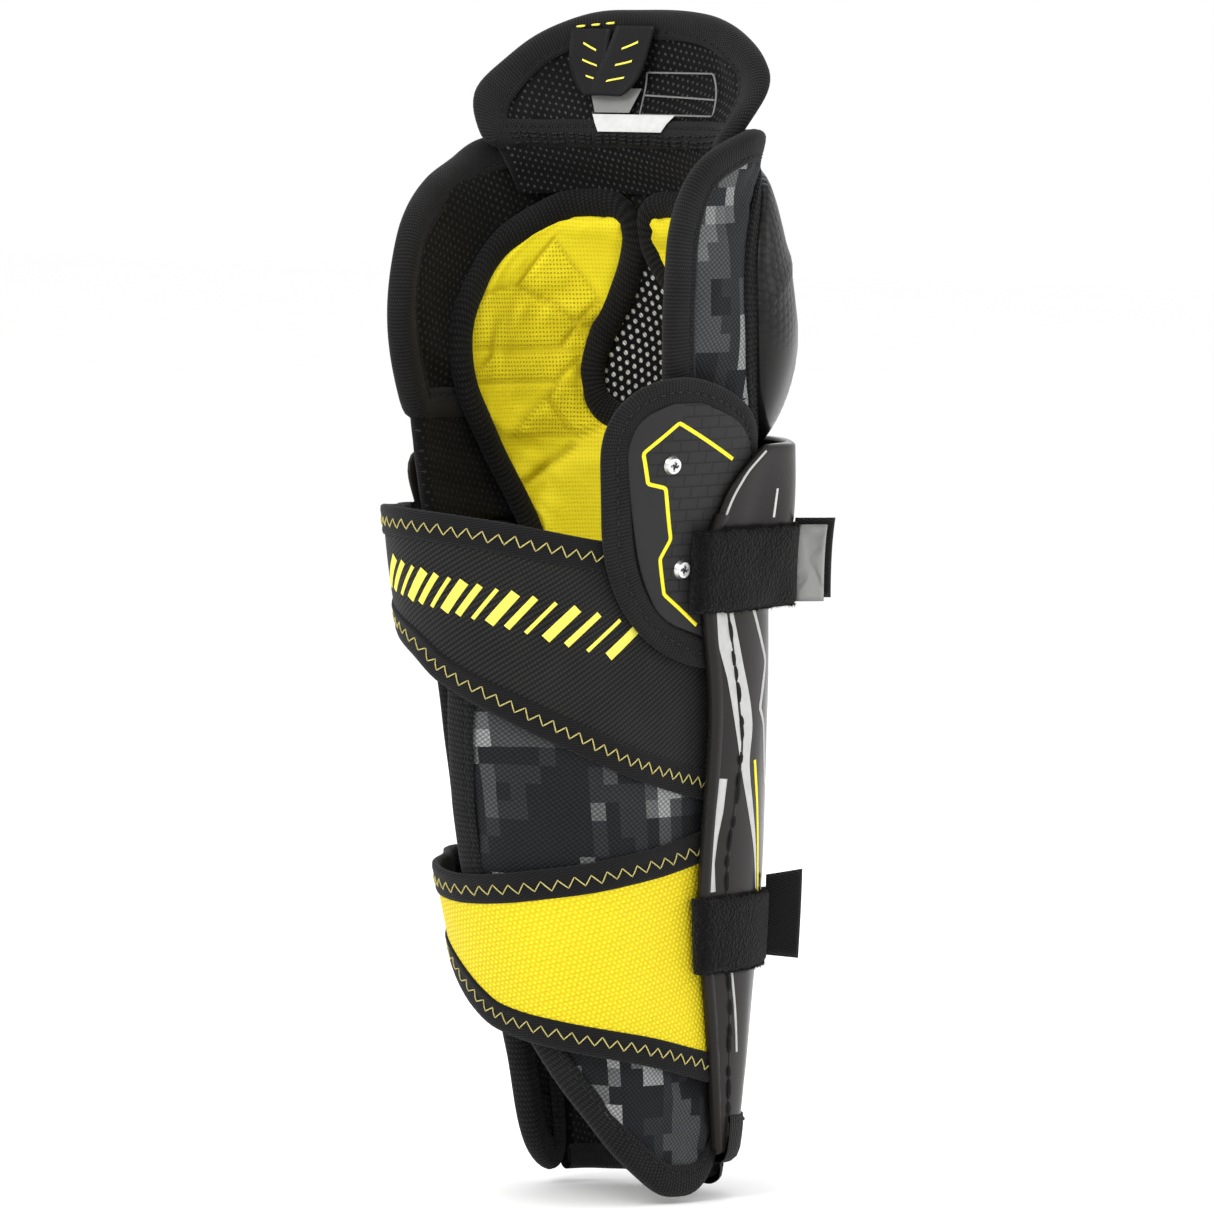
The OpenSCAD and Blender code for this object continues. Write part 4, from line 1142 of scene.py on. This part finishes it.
def thigh_in(th, z):
    return -9 * (1 - smooth((z - 324) / 26))


def thigh_wrinkles(th, z):
    """Folds that fan out from the lower inner corner."""
    a = np.degrees(np.arctan2(z - 318, th + 66))
    near = np.exp(-((th + 46) / 22) ** 2) * smooth((350 - z) / 16)
    return 0.55 * near * np.sin(a / 4.2) + 0.25 * wobble(th, z, 14,
                                                         3.0) - 0.35 * np.exp(-((z - 336) / 1.4) ** 2)


P_THIGH = Plane(340)
o = padded_slab("thigh_flap", inset(thigh_chart, 0.045, 0.1), 340, above(thigh_in, 0.3),
                above(thigh_in, 6.2), 3.0, 1.8, [M_CAMO, M_MESH_DARK],
                relief_out=lambda th, z: 0.4 * wobble(th, z, 16, 1.5), relief_in=thigh_wrinkles,
                sim=(3.0, 0.03, 16, 0.0014))
attach(o, "thigh", ["thigh_liner", "thigh_insert", "thigh_cover"])
thigh_rim = outline(thigh_chart, P_THIGH, 2.4, 5.0)
o = sweep("thigh_binding_tape", thigh_rim, tape_profile(8.6, 6.6, 0.1), thigh_in, above(thigh_in, 6.6),
          [M_TAPE],
          False, 0.15)
attach(o, "thigh", ["thigh_binding"])
seam("thigh_stitch_in", thigh_rim, 7.0, above(thigh_in, -0.05), "thigh")
seam("thigh_stitch_out", thigh_rim, 7.0, above(thigh_in, 6.7), "thigh")
o = padded_slab("thigh_gusset_fold", between_sides([[310, -62], [326, -70]], [[310, 62], [326, 70]], 310,
                                                   326), 318,
                lambda th, z: -3.0 - 4.8 * smooth((z - 312) / 10), level(-0.2), 1.6, 2.4,
                [M_HEM, M_MESH_DARK],
                relief_in=lambda th, z: 0.3 * np.sin(z / 1.7 + th / 20))
attach(o, ("knee", "thigh", (0, -0.0284, 0.320), (0, -0.0284, 0.330)), ["thigh_gusset"])


def on_flap(th, z):
    return thigh_in(th, z) - 0.15


def on_label(th, z):
    return on_flap(th, z) - 0.15


label = area("size_label_patch", between_sides([[335.5, -19.5], [343, -21.5]],
                                               [[335.5, -4.7], [343, -1.5]], 335.5, 343), on_label,
             M_LABEL)
attach(label, "thigh", ["size_label"])
attach(area("label_white", between_sides([[329.6, -18], [335, -20.5]], [[329.6, 13.5], [335, 17]], 329.6,
                                         335),
            lambda th, z: on_label(th, z) - 0.6 * smooth((334.5 - z) / 2), M_WHITE),
       "thigh")
for k, corners in enumerate(([(0, 348), (29, 348), (41, 335), (0, 335), (0, 348)], [(0, 341), (35, 340)])):
    th, z = np.array(corners, float).T
    printed("thigh", "label_line_%d" % k, Path(th, z, P_THIGH, 1.0), 0.28, on_label, M_LABEL)
for k, z in enumerate((325.8, 327.3, 328.8)):
    row = Path(np.linspace(-66, 64, 40), z + 0.5 * np.sin(np.linspace(0, 5, 40) + k), P_THIGH, 2.0)
    seam("thigh_fold_stitch_%d" % k, row, 0, above(thigh_in, -0.5), "thigh", 3.0, 1.3, 0.4, 0.5)

# ---- calf wraps ----

OUTER_REAR = [[1, 112], [8, 127], [20, 144], [36, 160], [48, 171], [80, 189], [110, 196], [140, 192],
              [160, 187], [212, 178]]
OUTER_FRONT = [[1, 94], [8, 82], [16, 71], [18, 71]]
INNER_REAR = [[3, -88], [6, -95], [11, -101], [19, -104], [34, -105.5], [50, -106.5], [64, -112],
              [80, -118], [212, -118]]
INNER_FRONT = [[3, -80], [9, -71], [14, -71]]
OUTER_BLEND = ("shin", "outer_wrap", (-0.033, -0.021, 0.114), (-0.034, -0.006, 0.114))
INNER_BLEND = ("shin", "inner_wrap", (0.0355, -0.021, 0.113), (0.0365, -0.006, 0.113))
P_CALF = Plane(110)
outer_chart = between_sides(OUTER_FRONT, OUTER_REAR, 1, 202)
inner_chart = between_sides(INNER_REAR, INNER_FRONT, 3, 208)


def wrap_relief(th, z):
    edge = 0.5 * np.exp(-((th - 150) / 30) ** 2) * np.sin(z / 9 + th / 12)
    return 0.4 * wobble(th, z, 20, 2.2) + 0.25 * edge


o = padded_slab("outer_wrap_pad", inset(outer_chart, 0.042, 0.02), 110, level(0.4), level(WRAP_T - 0.4),
                3.2, 2.6,
                [M_CAMO, M_MESH_DARK], relief_out=wrap_relief, relief_in=lambda th,
                z: 0.3 * wobble(th, z, 18),
                sim=(3.0, 0.025, 16, 0.0014))
attach(o, OUTER_BLEND, ["outer_calf_wrap"])
o = padded_slab("inner_wrap_pad", inset(inner_chart, 0.09, 0.02), 110, level(0.4), level(WRAP_T - 0.4),
                3.2, 2.6,
                [M_CAMO, M_MESH_DARK], relief_out=wrap_relief, relief_in=lambda th,
                z: 0.3 * wobble(th, z, 18),
                sim=(3.0, 0.025, 16, 0.0014))
attach(o, INNER_BLEND, ["inner_calf_wrap"])
for tag, chart, blend, node in (("outer", outer_chart, OUTER_BLEND, "outer_wrap_binding"),
                                ("inner", inner_chart, INNER_BLEND, "inner_wrap_binding")):
    rim = outline(chart, P_CALF, 2.6, 5.0)
    o = sweep(tag + "_wrap_tape", rim, tape_profile(9.6, 6.6, 0.1), level(0), level(WRAP_T), [M_RIB],
              False, 0.25)
    attach(o, blend, [node])
    for face, d in (("out", WRAP_T + 0.1), ("in", -0.1)):
        seam(tag + "_wrap_stitch_" + face, rim, 8.0, level(d), blend)

# ---- calf straps ----

STRAP_D = WRAP_T + 0.6
STRAP_T = 1.6
STRAP_START, STRAP_END = 76, 260
HEM_W = 8.6
HEM_SEAM = 4.4
HEM_SHAPE = [(HEM_W - 0.6, -1.75), (HEM_W - 1.0, -2.15), (4.0, -2.2), (0.4, -2.15), (-0.5, -1.4),
             (-0.7, -0.4),
             (-0.3, 0.5), (1.0, 0.75), (2.8, 0.6), (HEM_SEAM, 0.35), (6.0, 0.6), (HEM_W - 1.2, 0.8),
             (HEM_W - 0.2, 0.5), (HEM_W + 0.1, -0.3)]
UPPER_TOP = [[72, 200], [122, 206], [150, 212], [176, 215], [210, 216], [245, 214], [285, 212]]
UPPER_BOTTOM = [[72, 121], [86, 124], [115, 133], [140, 145], [160, 154], [186, 164], [200, 172],
                [225, 179], [250, 182], [285, 182]]
LOWER_TOP = [[74, 117], [92, 115], [117, 110], [145, 106], [187, 103], [213, 104], [245, 106], [285, 106]]
LOWER_BOTTOM = [[74, 33], [89, 36.5], [124, 45], [155, 50], [187, 55.5], [200, 61.5], [212, 69], [222, 74],
                [250, 78], [285, 78]]
UPPER_BLEND = ("shin", "upper_calf_strap", (-0.0373, 0.0456, 0.1805), (-0.0293, 0.0516, 0.1805))
LOWER_BLEND = ("shin", "lower_calf_strap", (-0.0406, 0.0042, 0.0765), (-0.0378, 0.0118, 0.0765))


def strap_in(th, z):
    over = curve(SHELL_RISE, z) + SHELL_T + 1.9
    return mix(STRAP_D, over, smooth((th - 236) / 23))


def upper_folds(th, z):
    """The strap pulls into soft folds next to the wing."""
    near = np.exp(-((th - 140) / 17) ** 2)
    a = z - 0.55 * (th - 120)
    return near * (1.5 * np.sin((a - 176) / 5.2) + 0.5 * np.sin(a / 2.9)) + 0.45 * wobble(th, z, 26, 0.8)


def strap(name, bottom, top, blend, nodes, material, folds):
    def inner_face(th, z):
        return strap_in(th, z) + folds(th, z) * 0.6

    outer_face = above(inner_face, STRAP_T)
    z_mid = 190 if name == "upper" else 80
    o = padded_slab(name + "_strap_band", between_edges(bottom, top, STRAP_START, STRAP_END), z_mid,
                    inner_face,
                    outer_face, 0.9, 2.2, [material])
    attach(o, blend, nodes)
    plane = Plane(z_mid)
    th = np.linspace(STRAP_START + 1, STRAP_END - 1, 120)
    for edge, table, way in (("top", top, -1), ("bottom", bottom, 1)):
        line = Path(th, curve(table, th), plane, 2.2)
        shape = [[way * a, 0, b] for a, b in HEM_SHAPE[::way]]
        hem = sweep(name + "_hem_" + edge, line, shape, outer_face, outer_face, [M_HEM], False, 0.1)
        attach(hem, blend)
        attach(zigzag_stitch(name + "_zigzag_" + edge, line, way * HEM_SEAM, above(outer_face, 0.62),
                             M_THREAD_CREAM),
               blend)
    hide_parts(name + "_strap_hems")


strap("upper", UPPER_BOTTOM, UPPER_TOP, UPPER_BLEND, ["upper_strap_anchor", "upper_strap"], M_TWILL,
      upper_folds)
strap("lower", LOWER_BOTTOM, LOWER_TOP, LOWER_BLEND, ["lower_strap_anchor", "lower_strap"], M_KNIT,
      lambda th, z: 0.4 * wobble(th, z, 34, 2.0))

# slanted speed stripes printed across the upper strap
BAR_CENTRE = [[118, 176], [150, 186], [200, 195], [215, 198]]
BAR_HALF = (1.5, 0.6, 1.0)


def upper_print(th, z):
    return strap_in(th, z) + upper_folds(th, z) * 0.6 + STRAP_T + 0.08


for k, th0 in enumerate(range(118, 212, 6)):
    z0 = curve(BAR_CENTRE, th0)
    path = Path([th0 + 5.0, th0 - 5.0], [z0 - 4.6, z0 + 4.6], Plane(190), 1.2)
    attach(strip("strap_bar_%d" % k, path, BAR_HALF[k % 3], upper_print, M_PALE_YELLOW), UPPER_BLEND)


def shell_far(th, z):
    """The shell's outside where the straps reach it, past 180 degrees."""
    return shell_out(th - 360, z)


def tab(name, z0, z1, body, nodes):
    o = padded_slab(name, between_edges([[0, z0]], [[0, z1]], 258, 288), 150, above(shell_far, 1.7),
                    above(above(shell_far, 1.7), 2.0), 1.0, 2.0, [M_HEM, M_LOOP],
                    relief_out=lambda th, z: 0.3 * np.exp(-((th - 264) / 1.0) ** 2))
    attach(o, body, nodes)


tab("upper_tab_end", 186, 211, "upper_calf_strap", ["upper_hook_tab"])
tab("lower_tab_end", 80, 105, "lower_calf_strap", ["lower_hook_tab"])
for tag, z0, z1 in (("upper", 184, 213), ("lower", 78, 107)):
    o = padded_slab(tag + "_loop_pile", between_edges([[0, z0]], [[0, z1]], 263, 291), 150,
                    above(shell_far, 0.1), above(shell_far, 1.3), 0.8, 2.0, [M_LOOP])
    attach(o, "shin", [tag + "_loop_patch"])

# ---- wing ----

WING_REAR = [[166, 96], [172, 108], [180, 116], [195, 122.5], [215, 126], [236, 129], [247, 127],
             [254, 121], [257, 114]]
WING_FRONT = [[166, 84], [176, 76], [215, 73], [232, 74], [243, 80], [252, 94], [257, 106]]
PLATE_REAR = [[175, 92], [181, 106], [190, 112], [209, 117], [232, 122], [240, 121.5], [246, 118], [249, 112]]
PLATE_FRONT = [[175, 84], [188, 80], [215, 79], [232, 82], [243, 92], [249, 104]]
WING_D = 9.2
PLATE_D = 12.0
YELLOW_LINE = [(92, 231), (110, 243), (118.5, 234), (116, 224.5), (111, 223), (107, 207), (109.5, 201),
               (108, 190), (98, 180)]
wing_chart = between_sides(WING_FRONT, WING_REAR, 166, 257)
plate_chart = between_sides(PLATE_FRONT, PLATE_REAR, 175, 249)
P_WING = Plane(212)
o = padded_slab("wing_base", inset(wing_chart, 0.06, 0.03), 212, level(WING_D), level(WING_D + 2.5), 1.6,
                2.2, [M_HEM])
attach(o, "shin", ["wing_pad"])
wing_rim = outline(wing_chart, P_WING, 2.2, 4.0)
o = sweep("wing_tape", wing_rim, tape_profile(8.6, 3.4, 0.2, 4.2), level(WING_D), level(WING_D + 3.0),
          [M_TAPE], False, 0.12)
attach(o, "shin")
seam("wing_stitch", wing_rim, 4.4, level(WING_D + 3.15), "shin", 1.9, 1.5, 0.42, 0.2)


def plate_crown(th, z):
    mid = (curve(PLATE_REAR, z) + curve(PLATE_FRONT, z)) / 2
    half = (curve(PLATE_REAR, z) - curve(PLATE_FRONT, z)) / 2
    t = np.clip(np.abs(th - mid) / half, 0, 1)
    return 0.5 * (1 - t**2) * smooth((z - 175) / 14) * smooth((249 - z) / 12)


o = padded_slab("wing_plate_cover", plate_chart, 212, level(PLATE_D - 0.2), level(PLATE_D + 1.3), 1.1,
                1.8, [M_PLATE],
                relief_out=plate_crown)
attach(o, "shin", ["wing_plate"])


def inside_yellow(th, z):
    """1 on the front side of the yellow line."""
    line_th, line_z = np.array(YELLOW_LINE[:0:-1], float).T
    return smooth((np.interp(z, line_z, line_th) - th) / 1.2)


paint(o, "field", 212, inside_yellow)
yellow_path = Path(*np.array(YELLOW_LINE, float).T, P_WING, 0.8)
printed("shin", "wing_yellow_line", yellow_path, 0.62, above(plate_crown, PLATE_D + 1.3), M_YELLOW_INK)

for name in ("wing_screws", "wing_nuts"):
    node = NODES[name]
    node.data.materials.clear()
    node.data.materials.append(M_STEEL)
    bevel = node.modifiers.new("bevel", "BEVEL")
    bevel.width, bevel.segments, bevel.limit_method = 0.0002, 2, "ANGLE"

screws = NODES["wing_screws"]
world = np.array([list(screws.matrix_world @ v.co) for v in screws.data.vertices])
for k, (th, z) in enumerate(((111, 231), (103.5, 198))):
    base = leg(th, z, WING_D)
    normal = np.cross(leg(th, z + 1, 0) - leg(th, z - 1, 0), leg(th + 1, z, 0) - leg(th - 1, z, 0))
    normal /= np.linalg.norm(normal)
    near = world[np.linalg.norm(world - base, axis=1) < 0.012]
    top = base + normal * (((near - base) @ normal).max() + 0.00003)
    right = np.cross(normal, (0, 0, 1.0))
    right /= np.linalg.norm(right)
    up = np.cross(right, normal)
    # painted shade: two black quads on each screw head stand for the dark shade in its cross recess
    for j, angle in enumerate((28, 118)):
        a = math.radians(angle)
        along, side = math.cos(a) * right + math.sin(a) * up, -math.sin(a) * right + math.cos(a) * up
        grid = [top + (x * along + y * side) * MM for x in (-1.15, -0.5, 0.5, 1.15) for y in (-0.3, 0.3)]
        cross = make("screw_recess_shade_%d_%d" % (k, j), grid, grid_quads(4, 2), np.zeros((8, 2)),
                     [M_THREAD_BLACK])
        attach(cross, "shin")

# ---- edge bands and their free tabs ----

BAND_RISE = 4.5
BAND_UNDER = [(86, -0.6), (92, -0.6), (97, -0.6), (98.7, -0.5), (99.8, 0.2), (100.1, 1.4), (99.9, 2.8),
              (99.2, 4.0),
              (98, BAND_RISE)]
BAND_TIP = [(50.3, 4.4), (50.0, 3.4), (50.3, 2.7)]


def edge_band(tag, z0, z1, seed):
    """Loop tape folded round the shell's outer edge, with fibres standing out of it."""
    plane = Plane((z0 + z1) / 2)
    height = np.linspace(0, 1, 13)
    th, rise = np.array(BAND_UNDER + [(t, BAND_RISE) for t in np.linspace(96, 52, 20)] + BAND_TIP).T
    rough = 0.5 * np.sin(th / 1.9 + seed) * 0.5 + 0.3 * np.sin(th / 0.83 + seed)
    share = height[:, None]
    zs = mix(z0, z1, share) + np.where(share < 0.02, -rough * 0.8, 0) + np.where(share > 0.98, rough, 0)
    thick = round_profile(np.minimum(height, 1 - height)[:, None] * (z1 - z0) / 1.2)
    d = shell_in(np.minimum(th, 99)[None], zs) + rise[None]
    stand = smooth((68 - th) / 16)[None] * (rise[None] > 2)
    d = mix(d, shell_in(th[None], z1) + rise[None], stand) - 0.9 * (1 - thick) * (rise[None] > 3)
    ths = np.broadcast_to(th[None], zs.shape)
    points = leg(ths, zs, d)
    uv = np.stack([np.broadcast_to(plane.to_s(th)[None] + rise[None] * 0.3, zs.shape), zs], -1)
    o = make(tag + "_band_tape", points.reshape(-1, 3), grid_quads(*zs.shape), uv.reshape(-1, 2), [M_LOOP])
    solid = o.modifiers.new("thickness", "SOLIDIFY")
    solid.thickness, solid.offset = 0.0009, -1
    attach(o, "shin", [tag + "_band"])
    rng = np.random.default_rng(seed)
    n, n_edge, fold_n = 5200, 1500, 900
    th = rng.uniform(50.5, 99.5, n)
    z = rng.uniform(z0, z1, n)
    edge_th = rng.uniform(50, 100, n_edge)
    edge_z = np.where(rng.random(n_edge) < 0.5, z0 + 0.2, z1 - 0.2)
    th = np.concatenate([th, edge_th, np.full(fold_n, 99.8)])
    z = np.concatenate([z, edge_z, rng.uniform(z0, z1, fold_n)])
    on_edge = np.minimum(th, 99)
    d = mix(shell_in(on_edge, z), shell_in(on_edge, z1), smooth((68 - th) / 16)) + BAND_RISE - 0.1
    d[-fold_n:] -= rng.uniform(0, 4.5, fold_n)
    way = outward(th)
    way[n:n + n_edge, 2] += np.where(z[n:n + n_edge] > (z0 + z1) / 2, 1.5, -1.5)
    way[-fold_n:] += np.array([0, 1.0, 0])
    attach(fuzz(tag + "_band_fibres", th, z, d, way, 1.15, M_LOOP, seed), "shin")


edge_band("upper", 184, 209, 11)
edge_band("lower", 72, 95, 12)

UPPER_TAB = ("shin", "upper_tab", tuple(leg(48.0, 198, 19.5)), tuple(leg(48.0, 198, 22.5)))
LOWER_TAB = ("shin", "lower_tab", tuple(leg(48.2, 86.5, 14.0)), tuple(leg(48.2, 86.5, 17.0)))


def standing_tab(name, th0, th1, z0, z1, reach, material, body, nodes, lean, start=1.4, slant=0.0):
    """A flat tab that stands out from the surface; lean bends it to one side along its length."""
    count, rows = 15, 12
    t, h = np.meshgrid(np.linspace(0, 1, count), np.linspace(0, 1, rows))
    th_mid, half = (th0 + th1) / 2, (th1 - th0) / 2
    z = mix(z0, z1, h) + slant * t * (h - 0.4)
    base = np.full(z.shape, float(shell_out(th_mid, z1)) + start)
    d = mix(base, reach, t)
    bend = lean(t, h)
    end = round_profile((1 - t) / 0.06) * round_profile(np.minimum(h, 1 - h) / 0.05)
    end = np.maximum(end, 0.25)
    front, back = (leg(th_mid + bend + way * half * end, z, d) for way in (1, -1))
    attach(closed_mesh(name, front, back, np.stack([d, z], -1), [material]), body, nodes)



def hook_lean(t, h):
    return 0.8 * np.sin(t * 2.4) * (h - 0.5) - 0.4 * t**2


def grip_lean(t, h):
    return 0.7 * np.sin(t * 5.0 + h * 1.5) * 0.5 + 0.2 * np.sin(h * 7)


standing_tab("upper_tab_hook", 47.0, 48.7, 185.5, 210.5, 36.3, M_HEM, UPPER_TAB, ["upper_band_hook"],
             hook_lean, 1.2)
standing_tab("upper_tab_grip", 49.1, 50.8, 184.5, 208.5, 34, M_GRIP, UPPER_TAB, ["upper_band_grip"],
             grip_lean, 2.4)
standing_tab("lower_tab_hook", 47.0, 49.4, 74, 99, 26.5, M_HEM, LOWER_TAB, ["lower_band_hook"],
             hook_lean, 1.6, 3.0)

# ---- pull loop ----

RIBBON_TH = [[0, -19.5], [0.25, -20.5], [0.5, -15], [0.75, -7], [1, -2]]
RIBBON_Z = [[0, 361.5], [0.25, 350], [0.46, 341.5], [0.54, 341.5], [0.75, 350], [1, 362.5]]
RIBBON_LIFT = [[0, 0.3], [0.25, 1.5], [0.46, 2.0], [0.54, 3.0], [0.75, 3.0], [1, 0.9]]
RIBBON_HALF = 7.4


def ribbon_points(t, across, raise_by=0.0):
    """Points at a share t of the way along the ribbon and at -1 to 1 across it."""
    th, z, lift = (curve(table, t) for table in (RIBBON_TH, RIBBON_Z, RIBBON_LIFT))
    th = th[:, None] + RIBBON_HALF * across
    z = z[:, None] + (1.5 - 4.5 * smooth((t - 0.3) / 0.5))[:, None] * across * np.sin(t * math.pi)[:, None]
    curl = 0.8 * (across**2) * np.sin(t * math.pi)[:, None]
    return leg(th, z, thigh_in(th, z) - 1.2 - lift[:, None] - raise_by + curl)


def ribbon(name):
    """A ribbon whose two ends are sewn under the top binding and whose fold hangs inside."""
    n, m = 44, 9
    t, across = np.linspace(0, 1, n), np.linspace(-1, 1, m)[None]
    points = ribbon_points(t, across)
    uv = np.stack(np.broadcast_arrays(t[:, None] * 60, across * RIBBON_HALF), -1)
    o = make(name, points.reshape(-1, 3), grid_quads(n, m), uv.reshape(-1, 2), [M_RIBBON])
    solid = o.modifiers.new("thickness", "SOLIDIFY")
    solid.thickness, solid.offset = 0.0005, 0
    return o


def ribbon_bar(name, t0):
    """A slanted bar printed on the ribbon."""
    t, across = t0 + np.linspace(-0.028, 0.028, 5), np.linspace(-0.3, 0.4, 5)[None]
    points = ribbon_points(t + 0.02 * across.T, across, 0.4)
    uv = np.stack(np.broadcast_arrays(t[:, None] * 60, across * 6), -1)
    return make(name, points.reshape(-1, 3), grid_quads(5, 5), uv.reshape(-1, 2), [M_PALE_YELLOW])


LOOP_BLEND = ("thigh", "loop", tuple(leg(-12.0, 361.5, -2.0)), tuple(leg(-12.0, 357.5, -2.0)))
for k, t0 in enumerate((0.12, 0.23, 0.34, 0.66, 0.77, 0.88)):
    attach(ribbon_bar("ribbon_bar_%d" % k, t0), LOOP_BLEND)
sewn = Path([-26, -4], [362, 364], P_THIGH, 1.0)
attach(running_stitch("ribbon_sewing", sewn, 0, above(thigh_in, -1.3), M_PALE_YELLOW, 3.4, 2.4, 0.4), "thigh")
attach(ribbon("pull_ribbon"), LOOP_BLEND, ["pull_loop"])

# ---- stage ----

CENTRE = np.array([0, 0, 0.183])
AZIMUTH, ELEVATION = math.radians(220), math.radians(4)
LENS, SENSOR = 300, 36
VIEW_WIDTH = 0.376
BACK = np.array([math.sin(AZIMUTH) * math.cos(ELEVATION), -math.cos(AZIMUTH) * math.cos(ELEVATION),
                 math.sin(ELEVATION)])
RIGHT = np.array([math.cos(AZIMUTH), math.sin(AZIMUTH), 0])
aim = CENTRE + RIGHT * 0.0037

camera = bpy.data.cameras.new("camera")
camera.lens, camera.sensor_width = LENS, SENSOR
camera.clip_start, camera.clip_end = 0.1, 50
cam = bpy.data.objects.new("camera", camera)
bpy.context.scene.collection.objects.link(cam)
cam.location = aim + BACK * (VIEW_WIDTH * LENS / SENSOR)
cam.rotation_mode = "QUATERNION"
cam.rotation_quaternion = Vector(-BACK).to_track_quat("-Z", "Y")
bpy.context.scene.camera = cam


def lamp(name, azimuth, elevation, distance, size, power):
    data = bpy.data.lights.new(name, "AREA")
    data.shape, data.size, data.energy = "SQUARE", size, power
    o = bpy.data.objects.new(name, data)
    a, e = math.radians(azimuth), math.radians(elevation)
    way = Vector((math.sin(a) * math.cos(e), -math.cos(a) * math.cos(e), math.sin(e)))
    o.location = Vector(CENTRE) + way * distance
    o.rotation_mode = "QUATERNION"
    o.rotation_quaternion = (-way).to_track_quat("-Z", "Y")
    bpy.context.scene.collection.objects.link(o)


lamp("key", 180, 38, 1.6, 0.7, 11)
lamp("fill", 262, 18, 1.8, 0.9, 4)
lamp("front", 40, 30, 2.0, 1.2, 7)
lamp("top", 220, 82, 1.6, 1.0, 5)
lamp("side", 305, 25, 1.8, 0.7, 5)
bpy.context.scene.view_settings.view_transform = "Standard"

world = bpy.data.worlds.new("world")
world.use_nodes = True
world.node_tree.nodes["Background"].inputs[0].default_value = (1, 1, 1, 1)
world.node_tree.nodes["Background"].inputs[1].default_value = 1.0
bpy.context.scene.world = world


def backdrop():
    gx, gy = np.meshgrid(np.linspace(-6, 6, 3), np.linspace(-6, 6, 12))
    points = np.stack([gx, gy, np.full(gx.shape, -0.0006)], -1)
    s = Shader("studio_floor", rough=0.9, specular=0.1)
    m = s.finish(s.shade((1.0, 1.0, 1.0), s.noise(3, 2), 0.99, 1.0))
    o = make("studio_floor", points.reshape(-1, 3), grid_quads(12, 3), np.zeros((36, 2)), [m],
             smooth_shading=False)
    o.data.flip_normals()


backdrop()

bpy.context.view_layer.update()
